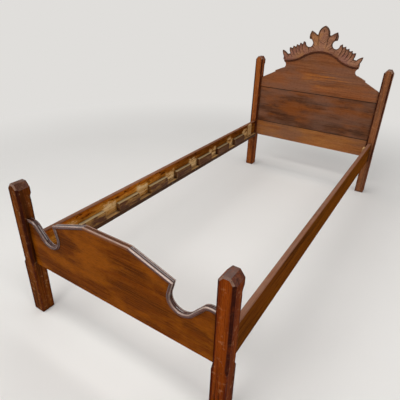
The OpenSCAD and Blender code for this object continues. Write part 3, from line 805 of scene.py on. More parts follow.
@dataclass
class Footboard:
    """The shaped panel at the foot and its moulded cap."""

    front: float = -1008 * MM
    thickness: float = 18 * MM
    beak: Flat = (246 * MM, 469 * MM)
    crown: Flat = (96 * MM, 520 * MM)
    scoop: Flat = (289 * MM, 420 * MM)
    scoop_r: float = 54 * MM
    scoop_steps: int = 64
    wing: Flat = (388 * MM, 414 * MM)
    wing_r: float = 26 * MM
    wing_steps: int = 24
    bead_r: float = 6 * MM
    bead_steps: int = 28
    flat_h: float = 9 * MM
    groove_h: float = 7.5 * MM
    groove_w: float = 1.25 * MM
    rear_r: float = 2.75 * MM
    rear_h: float = 11 * MM
    rear_steps: int = 14
    ease: float = 0.8 * MM
    sharp: float = 34.0
    highlight_tilt: float = 0.3
    # rubbed: the pale colour of the painted highlights along the bead crests.
    rubbed: str = "dcc2b2"

    def section(self) -> list[Flat]:
        """Draws the cap's section.

        Returns:
            Its points as (way to the rear, height).
        """
        end = math.asin((self.groove_h - self.bead_r) / self.bead_r)
        rear = self.thickness - 2 * self.rear_r
        bead = arc((0.0, self.bead_r), self.bead_r, -math.pi / 2, end - 1.5 * math.pi,
                   self.bead_steps)
        flat = [(self.bead_r + self.groove_w, self.groove_h),
                (self.bead_r + self.groove_w, self.flat_h),
                (rear - self.groove_w, self.flat_h),
                (rear - self.groove_w, self.groove_h), (rear, self.groove_h)]
        back = arc((rear + self.rear_r, self.rear_h - self.rear_r), self.rear_r, math.pi,
                   -math.pi, self.rear_steps)
        return [p for p, _ in bead] + flat + [p for p, _ in back] + [(self.thickness, 0.0)]

    def stations(self) -> list[tuple[Flat, Flat]]:
        """Walks along the cap's path round the scoop.

        Returns:
            The places, each with its outward normal.
        """
        (bx, bz), (sx, sz), (wx, wz) = self.beak, self.scoop, self.wing
        slope = math.atan2(bz - self.crown[1], bx - self.crown[0])
        fall = (math.atan2(sz - bz, sx - bx)
                - math.asin(self.scoop_r / math.hypot(sx - bx, sz - bz)))
        rise = (math.atan2(wz - sz, wx - sx)
                + math.asin((self.scoop_r + self.wing_r) / math.hypot(wx - sx, wz - sz)))
        mitre = (slope + fall) / 2 + math.pi / 2
        reach = 1 / math.cos((slope - fall) / 2)
        scoop = arc(self.scoop, self.scoop_r, fall + 1.5 * math.pi, rise - fall,
                    self.scoop_steps)
        return [(self.beak, (reach * math.cos(mitre), reach * math.sin(mitre))),
                *((p, (-c, -s)) for p, (c, s) in scoop),
                *arc(self.wing, self.wing_r, rise + math.pi / 2, -rise, self.wing_steps)]

    def scroll_mesh(self, side: int) -> bpy.types.Mesh:
        """Sweeps the section round the scoop.

        Args:
            side: -1 for the left half and 1 for the right half.

        Returns:
            The mesh.
        """
        rings = [[(side * (at[0] + h * out[0]), self.front + y, at[1] + h * out[1])
                  for y, h in self.section()] for at, out in self.stations()]
        mesh = lofted(rings, split=True)
        shade(mesh, self.sharp)
        return mesh

    def painted_bead_highlights(self, timber: Layer) -> Wire:
        """Paints highlights along the crests of the cap's two beads, stronger towards the right.

        Args:
            timber: The timber so far.

        Returns:
            The new colour.
        """
        across, along, height = timber.place.axes()
        rear = self.front + self.thickness - 2 * self.rear_r
        bead = along.span(self.front + 4.5 * MM, self.front + 3 * MM).calc(
            "MAXIMUM", along.span(rear - 0.3 * MM, rear + 0.5 * MM))
        tilt = abs(timber.sheet.facing()[1] + self.highlight_tilt)
        # Painted highlight, stronger towards the right and fainter low on the scrolls.
        uneven = timber.figure["Streaks"].span(0.0, 1.0, 0.35, 0.75)
        uneven = uneven * across.span(-0.1, 0.24, 0.7, 1.15)
        uneven = uneven * height.span(0.40, 0.47, 0.5, 1.0)
        return (bead * tilt.span(0.6, 0.15) * uneven).between(timber.colour, self.rubbed)

    def build(self, effects: Effects) -> None:
        """Dresses the panel and the cap, and sweeps the scrolls finely.

        Args:
            effects: The shared groups.
        """
        panel = Timber(Grain.ACROSS, "4c2204", "743604", "925012", "8a5830",
                       heart=(0.0, -0.86, 0.36), ring_gap=0.0085, wander=0.06,
                       ring_share=0.35, patch="9c540c", patch_share=0.7,
                       patch_scale=(3.4, 8.0, 8.0), specular=0.0, coat=0.08)
        dress_node("footboard_panel", panel.material("footboard panel", effects), self.ease)
        polished = Timber(Grain.ACROSS, "260e08", "562416", "804430", "c8a898",
                          heart=(0.0, -0.95, 0.30), ring_gap=0.004, wander=0.02,
                          roughness=0.3, specular=0.0, coat=1.0, edge_coat=1.0,
                          coat_roughness=0.06, coat_ior=1.6, wear=0.15, wear_reach=0.0008,
                          dust=0.03, grime_and_shade_reach=0.006, grime_and_shade=0.9, bump=0.08)
        rubbed = replace(polished, dark="4c2410", mid="80441c", light="a06a3e",
                         worn="c89a78", wear=0.4, coat=0.35, grime_and_shade=0.6)
        dress_node("cap_flat", rubbed.material("rubbed cap", effects, self.painted_bead_highlights))
        wood = polished.material("polished cap", effects, self.painted_bead_highlights)
        for name, side in SIDES.items():
            dress_node(f"cap_slope_{name}", wood)
            dress_node(f"cap_end_{name}", wood)
            keep(f"cap_scroll_{name}_fine", self.scroll_mesh(side), wood,
                 [f"cap_scroll_{name}"])


@dataclass
class Headboard:
    """The three boards between the head posts and the moulding below the crest."""

    ease: float = 1.6 * MM
    moulding_ease: float = 1.0 * MM
    joints: Flat = (372 * MM, 624 * MM)
    joint_reach: float = 5 * MM
    joint_core: float = 0.2 * MM
    joint_dark: str = "1a0c06"
    # Greyish colour of the clouds: dull varnish and painted sheen.
    dull_varnish_and_sheen: str = "7a5848"

    def aged(self, timber: Layer) -> Wire:
        """Darkens the joints between the boards and lays greyish clouds of dull varnish and
        painted sheen.

        Args:
            timber: The timber so far.

        Returns:
            The new colour.
        """
        away = timber.place.axes()[2].away_from(self.joints)
        cloud = timber.place.noise(5.0, 0.6, drawn=(3.0, 3.0, 9.0))["Fac"]
        # Greyish clouds: dull varnish and painted sheen.
        colour = cloud.span(0.42, 0.62, 0.0, 0.55).between(timber.colour, self.dull_varnish_and_sheen)
        near = away.span(self.joint_reach, self.joint_core)
        near = near * timber.figure["Fibre"].span(0.3, 0.6, 0.6, 0.95)
        return near.between(colour, self.joint_dark)

    def build(self, effects: Effects) -> None:
        """Dresses the boards and the moulding.

        Args:
            effects: The shared groups.
        """
        lower = Timber(Grain.ACROSS, "7c4420", "a46434", "bd8450", "b08860",
                       heart=(0.0, 1.12, 0.24), wander=0.05, roughness=0.5,
                       patch="b87a3c", patch_share=0.4, grime_and_shade=0.85, grime_and_shade_reach=0.02)
        middle = Timber(Grain.ACROSS, "3c2014", "704026", "8a5e42", "9a6a44",
                        heart=(0.0, 1.10, 0.46), ring_gap=0.012, wander=0.07,
                        roughness=0.4, patch="8e4a18", patch_share=0.7,
                        patch_scale=(3.4, 12.0, 12.0), coat=0.1, grime_and_shade=0.85,
                        grime_and_shade_reach=0.02)
        upper = Timber(Grain.ACROSS, "6c3c22", "925634", "aa7650", "9a6a44",
                       heart=(0.1, 1.13, 0.78), ring_gap=0.012, wander=0.07,
                       roughness=0.45, patch="8e4c24", patch_share=0.5, grime_and_shade=0.85,
                       grime_and_shade_reach=0.02, glow="cc7608", glow_at=(0.075, 0.99, 0.725),
                       glow_size=(0.22, 0.2, 0.07))
        for name, timber in (("lower", lower), ("middle", middle), ("upper", upper)):
            wood = timber.material(f"headboard {name} board", effects, self.aged)
            dress_node(f"headboard_{name}_board", wood, self.ease)
        dark = Timber(Grain.ACROSS, "3c180c", "6a3420", "8a5034", "a06c4c",
                      heart=(0.0, 1.0, 0.7), ring_gap=0.004, roughness=0.4, coat=0.2,
                      grime_and_shade=0.95, grime_and_shade_reach=0.009)
        dress_node("crest_moulding", dark.material("crest moulding", effects),
                   self.moulding_ease)


# ---- Carved crest ----


def bell(x: Field, width: float) -> Field:
    """Returns a smooth hump of height 1 round zero."""
    return np.exp(-(x / width) ** 2)


def ramp(x: Field, start: float, width: float) -> Field:
    """Returns shares that rise straight from 0 at the start to 1 after the width."""
    return np.clip((x - start) / width, 0, 1)


def smooth(share: Field) -> Field:
    """Rounds the ends of a ramp off."""
    return share * share * (3 - 2 * share)


@dataclass(frozen=True)
class Leaf:
    """A pointed leaf, with its root and its tip as (across, height above the ogee)."""

    root: Flat
    tip: Flat
    half: float
    thickness: float

    def measures(self) -> tuple[float, float, float, float]:
        """Measures the leaf.

        Returns:
            Its length, its direction across and up, and the radius of its edges.
        """
        dx, dz = self.tip[0] - self.root[0], self.tip[1] - self.root[1]
        length = math.hypot(dx, dz)
        radius = (length ** 2 / 4 + self.half ** 2) / (2 * self.half)
        return length, dx / length, dz / length, radius

    def local(self, x: Field, z: Field) -> tuple[Field, Field, Field]:
        """Finds where points lie on the leaf.

        Args:
            x: The places across.
            z: The heights.

        Returns:
            The distance outside the leaf, the share along it and the share across it.
        """
        length, dx, dz, r = self.measures()
        along = (x - self.root[0]) * dx + (z - self.root[1]) * dz
        across = (z - self.root[1]) * dx - (x - self.root[0]) * dz
        off = along - length / 2
        out = np.maximum(np.hypot(off, across - (self.half - r)) - r,
                         np.hypot(off, across - (r - self.half)) - r)
        wide = np.sqrt(np.maximum(r ** 2 - off ** 2, 0)) - (r - self.half)
        return out, along / length, across / np.maximum(wide, 0.1 * MM)

    def beside(self, offset: float, step: float) -> Field:
        """Places points along both edges of the leaf, at a distance from them.

        Args:
            offset: How far outside the edge the points lie, negative for inside.
            step: The distance between the points.

        Returns:
            The points, one row each.
        """
        length, dx, dz, r = self.measures()
        reach = math.acos(min((r - self.half) / (r + offset), 1.0))
        turn = np.linspace(-reach, reach, max(int(2 * reach * r / step), 4))
        along = length / 2 + (r + offset) * np.sin(turn)
        across = (r + offset) * np.cos(turn) - (r - self.half)
        rows = [np.stack([self.root[0] + along * dx - s * across * dz,
                          self.root[1] + along * dz + s * across * dx], 1) for s in (-1, 1)]
        return np.concatenate(rows)


@dataclass
class Crest:
    """The carved crest, cut from one board in low relief.

    Its own points are (across, height above the ogee's middle). The outlines of the board
    and the ears are given in shares of the half width and of the height.
    """

    face: float = 990 * MM
    base: float = 904 * MM
    half: float = 267 * MM
    peak: float = 153 * MM
    ogee_half: float = 240 * MM
    ogee_drop: float = 75 * MM
    throat: Flat = (0.33, 0.288)
    throat_r: float = 25 * MM
    board: tuple[Flat, ...] = (
        (-0.1, 0.654), (0.18, 0.641), (0.262, 0.601), (0.423, 0.196), (0.453, 0.272),
        (0.775, 0.01), (0.798, -0.216), (0.869, -0.235), (0.955, -0.327), (0.959, -0.536),
        (0.9, -0.588), (-0.1, -0.588))
    ear: tuple[Flat, ...] = ((0.315, 0.778), (0.349, 0.62), (0.348, 0.523), (0.25, 0.47),
                             (0.2, 0.6))
    ground: float = 9 * MM
    fluting: float = 0.35 * MM
    flutes: float = 90.0
    flutes_from: Flat = (40 * MM, -150 * MM)
    lowest: float = 3 * MM
    round_w: float = 1.6 * MM
    round_h: float = 1.3 * MM
    wing_leaves: int = 5
    grid: float = 1.0 * MM
    rim_step: float = 1.2 * MM
    rim_rows: tuple[float, ...] = (0.55 * MM, 1.6 * MM)
    rim_clear: float = 0.35 * MM
    leaf_step: float = 1.3 * MM
    leaf_rows: tuple[float, ...] = (-1.15 * MM, -0.05 * MM, 0.9 * MM)
    inner: float = 1.8 * MM
    inner_rows: float = 0.87
    inner_clear: float = 1.2 * MM
    closest: float = 0.75 * MM
    sharp: float = 50.0
    eye_z: float = 122 * MM
    stain_name: str = "old_stain_and_shade"
    back_stain: float = 0.3
    dusky: str = "8c5a54"
    golden: str = "b47c48"
    # Colours of the old stain and painted shade at the carving's edges and cuts.
    old_stain_and_shade: Stain = ("160a08", "321c16")

    def at(self, u: float, v: float) -> Flat:
        """Returns the point at shares of the half width and of the height."""
        return u * self.half, v * self.peak

    def leaves(self) -> list[Leaf]:
        """Returns the leaves as they lie on each other.

        Returns:
            The wing's leaves, the two side leaves, the stem and the lobe.
        """
        leaves = [Leaf(self.at(0.8, -0.516), self.at(1.0, -0.085), 15 * MM, 14 * MM)]
        for i in reversed(range(self.wing_leaves)):
            f = i / (self.wing_leaves - 1)
            leaves.append(Leaf(self.at(0.33 + 0.27 * f, -0.248 - 0.157 * f),
                               self.at(0.476 + 0.344 * f, 0.34 - 0.294 * f),
                               19 * MM, (15 - 0.9 * i) * MM))
        return leaves + [Leaf(self.at(0.03, -0.04), self.at(0.348, 0.523), 17 * MM, 14.5 * MM),
                         Leaf(self.at(0.022, 0.026), self.at(0.315, 0.778), 23 * MM, 15.5 * MM),
                         Leaf(self.at(0, -0.13), self.at(0, 0.921), 29.6 * MM, 16.4 * MM),
                         Leaf(self.at(0, 0.32), self.at(0, 1.0), 37 * MM, 17 * MM)]

    def above_ogee(self, x: Field, z: Field) -> Field:
        """Returns the height above the curved lower edge.

        Args:
            x: The places across.
            z: The heights.

        Returns:
            The distances in metres.
        """
        r = (self.ogee_half ** 2 + self.ogee_drop ** 2) / (4 * self.ogee_drop)
        a = np.abs(x)
        top = np.sqrt(np.maximum(r ** 2 - a ** 2, 0)) - r
        low = -self.ogee_drop + r - np.sqrt(
            np.maximum(r ** 2 - np.maximum(self.ogee_half - a, 0) ** 2, 0))
        return z - np.where(a <= self.ogee_half / 2, top, low)

    def outline(self, x: Field, z: Field) -> Field:
        """Returns the distance outside the crest, negative inside it.

        Args:
            x: The places across.
            z: The heights.

        Returns:
            The distances in metres.
        """
        a = np.abs(x)
        out, ear = (polygon_distance(a, z, [self.at(u, v) for u, v in shape])
                    for shape in (self.board, self.ear))
        leaves = self.leaves()
        for leaf in leaves[:-2]:
            out = np.minimum(out, leaf.local(a, z)[0])
        out = np.minimum(out, ear)
        x_0, z_0 = self.at(*self.throat)
        out = np.maximum(out, self.throat_r - np.hypot(a - x_0, z - z_0))
        for leaf in leaves[-2:]:
            out = np.minimum(out, leaf.local(a, z)[0])
        return np.maximum(out, -self.above_ogee(x, z))

    def height(self, x: Field, z: Field) -> Field:
        """Returns how far the carving stands in front of the board's back.

        Args:
            x: The places across.
            z: The heights.

        Returns:
            The relief in metres.
        """
        a = np.abs(x)
        spread = np.arctan2(z - self.flutes_from[1], a - self.flutes_from[0])
        high = self.ground + self.fluting * np.sin(spread * self.flutes)
        for leaf in self.leaves()[:-1]:
            high = self.laid(high, a, z, leaf)
        return self.lobe(high, a, z)

    @staticmethod
    def laid(high: Field, x: Field, z: Field, leaf: Leaf) -> Field:
        """Lays a hollow leaf with raised edges and a vein over the relief.

        Args:
            high: The relief so far.
            x: The places across, on the right half.
            z: The heights.
            leaf: The leaf.

        Returns:
            The new relief.
        """
        out, along, across = leaf.local(x, z)
        side = np.clip(np.abs(across), 0, 1.2)
        hollow = leaf.thickness * (0.72 + 0.28 * side ** 1.6) + 0.9 * MM * bell(across, 0.13)
        rise = smooth(ramp(along, 0.12, 0.4))
        shown = smooth(ramp(-out, 0, 1.2 * MM))
        cut = bell(out - 0.7 * MM, 0.9 * MM) * (out > -0.6 * MM)
        groove = 1.6 * MM * rise * cut
        return (high - groove) * (1 - shown) + (high + (hollow - high) * rise) * shown

    def lobe(self, high: Field, x: Field, z: Field) -> Field:
        """Carves the lobe at the top: a raised rim, a sunk border and a veined boss.

        Args:
            high: The relief so far.
            x: The places across, on the right half.
            z: The heights.

        Returns:
            The new relief.
        """
        leaf = self.leaves()[-1]
        out = leaf.local(x, z)[0]
        body = leaf.thickness - 0.25 * MM * ramp(-out, 0, 3 * MM)
        body = body - 3.4 * MM * ramp(-out, 4.6 * MM, 1.2 * MM)
        body = body + 3.6 * MM * np.sqrt(ramp(-out, 10 * MM, 12 * MM))
        body -= 0.9 * MM * bell(x, 1.0 * MM) * (-out > 11 * MM)
        body += 0.35 * MM * np.sin((z - 0.9 * np.abs(x)) / (1.5 * MM)) * (-out > 12 * MM)
        shown = smooth(ramp(-out, 0, 1.2 * MM))
        groove = 1.8 * MM * bell(out - 0.8 * MM, 1.0 * MM) * (out > -0.5 * MM)
        return (high - groove) * (1 - shown) + body * shown

    def stain(self, x: Field, z: Field) -> Field:
        """Returns how dark the old stain and the painted shade lie at the edges and in the cuts.

        Args:
            x: The places across.
            z: The heights.

        Returns:
            Shares from 0 to 1.
        """
        a = np.abs(x)
        dark = np.zeros_like(a)
        for leaf in self.leaves():
            out, along, _ = leaf.local(a, z)
            dark = np.where(out < 0, dark * 0.35, dark)
            # Dark lines along the cuts round each leaf: old stain and painted shade.
            cut = ramp(along, 0.2, 0.5) * bell(out - 0.3 * MM, 2.5 * MM)
            tip = ramp(along, 0.7, 0.25) * (out < 0)
            dark = np.maximum(np.maximum(dark, cut), 0.7 * tip)
        ring = bell(out + 6.4 * MM, 2.2 * MM)
        dark = np.where(out < -8 * MM, 0, dark)
        dark = np.maximum(dark, ring * ramp(along, 0.25, 0.2))
        mark = np.hypot(a / (5 * MM), (z - self.eye_z) / (9 * MM))
        dark = np.maximum(dark, 0.9 * bell(mark, 1.0))
        # A dark band just inside the outline: old stain and painted shade of the edge.
        low = ramp(self.above_ogee(x, z), 2 * MM, 6 * MM)
        return np.maximum(dark, low * bell(-self.outline(x, z), 5.6 * MM))

    def inner_points(self, rim: Field, span_x: float, low: float, top: float) -> Field:
        """Places the points of the carved face, close together where the relief steps.

        Args:
            rim: The outline's points.
            span_x: How far the points reach across.
            low: The lowest height.
            top: The greatest height.

        Returns:
            The points inside the outline, one row each.
        """
        x, z = rim.T
        gap = 0.2 * MM
        side = np.stack([self.outline(x + gap, z) - self.outline(x - gap, z),
                         self.outline(x, z + gap) - self.outline(x, z - gap)], 1)
        side /= np.maximum(np.hypot(*side.T), 1e-9)[:, None]
        sets = [rim - side * deep for deep in self.rim_rows]
        for leaf in reversed(self.leaves()):
            rows = np.concatenate([leaf.beside(off, self.leaf_step) for off in self.leaf_rows])
            sets += [rows, rows * (-1, 1)]
        step = self.inner
        for k, level in enumerate(np.arange(low, top, step * self.inner_rows)):
            row = np.arange(-span_x, span_x, step) + (step / 2 if k % 2 else 0)
            sets.append(np.stack([row, np.full_like(row, level)], 1))
        points = np.concatenate(sets)
        beside_rim = np.arange(len(points)) < len(rim) * len(self.rim_rows)
        deep = -self.outline(*points.T)
        points = points[deep > np.where(beside_rim, self.rim_clear, self.inner_clear)]
        return points[thinned(points, self.closest)]

    def mesh(self) -> bpy.types.Mesh:
        """Builds the carved board as one closed mesh.

        Returns:
            The mesh in the row frame.
        """
        span_x, low, top = self.half + 6 * MM, -self.ogee_drop - 8 * MM, self.peak + 6 * MM
        xs = np.arange(-span_x, span_x + self.grid, self.grid)
        zs = np.arange(low, top + self.grid, self.grid)
        rim = evened(longest_contour(xs, zs, self.outline(*np.meshgrid(xs, zs))),
                     self.rim_step)
        verts, faces = triangles_within(rim, self.inner_points(rim, span_x, low, top))
        edge = np.clip(1 + self.outline(*verts.T) / self.round_w, 0, 1)
        high = self.height(*verts.T) - self.round_h * (1 - np.sqrt(1 - edge ** 2))
        high = np.maximum(high, self.lowest)
        points = [(x, self.face - h, self.base + z) for (x, z), h in zip(verts, high)]
        back, n = len(points), len(rim)
        points += [(x, self.face, self.base + z) for x, z in rim.tolist()]
        faces += [[back + i for i in f] for f in triangles_within(rim, rim[:0])[1]]
        faces += [[(i + 1) % n, i, back + i, back + (i + 1) % n] for i in range(n)]
        mesh = mesh_of(points, faces)
        shade(mesh, self.sharp)
        dark = mesh.attributes.new(self.stain_name, "FLOAT", "POINT")
        share = self.stain(np.array([p[0] for p in points]),
                           np.array([p[2] for p in points]) - self.base)
        share[back:] = self.back_stain
        dark.data.foreach_set("value", share.astype(np.float32))
        return mesh

    def stained(self, timber: Layer) -> Wire:
        """Tones the carving and darkens its edges and cuts with old stain and painted shade.

        Args:
            timber: The timber so far.

        Returns:
            The new colour.
        """
        broad = timber.place.noise(3.0, 0.55, 9.0)
        dusky = broad["Fac"].span(0.48, 0.62, 0.0, 0.5)
        golden = broad["Color"].axes()[1].span(0.5, 0.64, 0.0, 0.55)
        colour = golden.between(dusky.between(timber.colour, self.dusky), self.golden)
        cloud = timber.place.noise(4.0, 0.6, 60.0)["Fac"]
        share = timber.sheet.add("Attribute", attribute_name=self.stain_name)["Fac"]
        tone = timber.figure["Fibre"].between(*self.old_stain_and_shade)
        return (share * cloud.span(0.3, 0.6, 0.75, 1.0)).between(colour, tone)

    def build(self, effects: Effects) -> None:
        """Carves the crest and puts it in the place of its plain solid.

        Args:
            effects: The shared groups.
        """
        timber = Timber(Grain.ACROSS, "84543c", "a8765a", "c09478", "5a3626",
                        heart=(0.0, 1.1, 0.86), ring_gap=0.008, wander=0.04,
                        ring_share=0.35, patch="7c4c38", patch_share=0.6,
                        patch_scale=(10.0, 16.0, 16.0), roughness=0.5, wear=0.4,
                        wear_reach=0.0022, grime_and_shade=0.4, grime_and_shade_reach=0.005, dust=0.2)
        wood = timber.material("carved crest", effects, self.stained)
        keep("crest_carving", self.mesh(), wood, ["crest_plate"])


def polygon_distance(x: Field, z: Field, corners: Sequence[Flat]) -> Field:
    """Returns the distance outside a polygon, negative inside it.

    Args:
        x: The places across.
        z: The heights.
        corners: The polygon's corners in order.

    Returns:
        The signed distance.
    """
    near = np.full_like(x, np.inf)
    inside = np.zeros(x.shape, bool)
    for (ax, az), (bx, bz) in zip(corners, [*corners[1:], corners[0]]):
        ex, ez = bx - ax, bz - az
        t = np.clip(((x - ax) * ex + (z - az) * ez) / (ex * ex + ez * ez), 0, 1)
        near = np.minimum(near, np.hypot(x - ax - t * ex, z - az - t * ez))
        if az != bz:
            inside ^= ((az > z) != (bz > z)) & (x < ex * (z - az) / ez + ax)
    return np.where(inside, -near, near)


def longest_contour(xs: Field, zs: Field, field: Field) -> Field:
    """Follows the zero line of a field by marching squares.

    Args:
        xs: The columns of the grid.
        zs: The rows of the grid.
        field: The values, one row for each z.

    Returns:
        The points of the longest closed line, one row each.
    """
    inside = field < 0
    key: dict[tuple[int, int, int], tuple[int, int, int]] = {}
    rows, cols = np.nonzero((inside[:-1, :-1].astype(int) + inside[1:, :-1] + inside[:-1, 1:]
                             + inside[1:, 1:]) % 4)
    for r, c in zip(rows.tolist(), cols.tolist()):
        sides = [(0, r, c), (1, r, c + 1), (0, r + 1, c), (1, r, c)]
        marks = [bool(inside[p]) for p in ((r, c), (r, c + 1), (r + 1, c + 1), (r + 1, c))]
        into = [k for k in range(4) if not marks[k] and marks[(k + 1) % 4]]
        away = [k for k in range(4) if marks[k] and not marks[(k + 1) % 4]]
        for a in into:
            key[sides[a]] = sides[min(away, key=lambda k: (k - a) % 4)]

    def place(side: tuple[int, int, int]) -> Flat:
        """Finds where the zero line crosses a side of the grid.

        Args:
            side: The side's kind, row and column.

        Returns:
            The point.
        """
        kind, r, c = side
        r2, c2 = (r, c + 1) if kind == 0 else (r + 1, c)
        share = field[r, c] / (field[r, c] - field[r2, c2])
        return xs[c] + share * (xs[c2] - xs[c]), zs[r] + share * (zs[r2] - zs[r])

    best: list[Flat] = []
    while key:
        start, here = key.popitem()
        line = [place(start)]
        while here in key:
            line.append(place(here))
            here = key.pop(here)
        best = max(best, line, key=len)
    return np.array(best)


def evened(line: Field, step: float) -> Field:
    """Spaces the points of a closed line evenly.

    Args:
        line: The points, one row each.
        step: The rough distance between them.

    Returns:
        The new points.
    """
    closed = np.concatenate([line, line[:1]])
    run = np.concatenate([[0], np.cumsum(np.hypot(*np.diff(closed, axis=0).T))])
    count = int(run[-1] / step)
    want = np.arange(count) * run[-1] / count
    return np.stack([np.interp(want, run, closed[:, i]) for i in (0, 1)], 1)


def thinned(points: Field, gap: float) -> Field:
    """Drops points that lie too close to an earlier one.

    Args:
        points: The points, the ones to keep first.
        gap: The least distance between two points.

    Returns:
        The numbers of the points that stay.
    """
    cells: dict[tuple[int, int], list[int]] = {}
    stay = []
    for i, (x, z) in enumerate(points.tolist()):
        cx, cz = int(x // gap), int(z // gap)
        near = [k for a in (-1, 0, 1) for b in (-1, 0, 1)
                for k in cells.get((cx + a, cz + b), ())]
        if all(math.dist(points[k], (x, z)) >= gap for k in near):
            cells.setdefault((cx, cz), []).append(i)
            stay.append(i)
    return np.array(stay)


def triangles_within(rim: Field, inside: Field) -> tuple[Field, list[list[int]]]:
    """Fills a closed outline with triangles.

    Args:
        rim: The outline's points in order, one row each.
        inside: Further points inside the outline.

    Returns:
        All points, the outline's first, and the triangles as lists of point numbers.
    """
    flat = [Vector(p) for p in np.concatenate([rim, inside]).tolist()]
    edges = [(i, (i + 1) % len(rim)) for i in range(len(rim))]
    verts, _, faces, *_ = geometry.delaunay_2d_cdt(flat, edges, [], 0, 1e-7, False)
    points, faces = np.array([tuple(v) for v in verts]), np.array(faces)
    within = polygon_distance(*points[faces].mean(1).T, [tuple(p) for p in rim]) < 0
    return points, faces[within].tolist()


# ---- Side rails ----


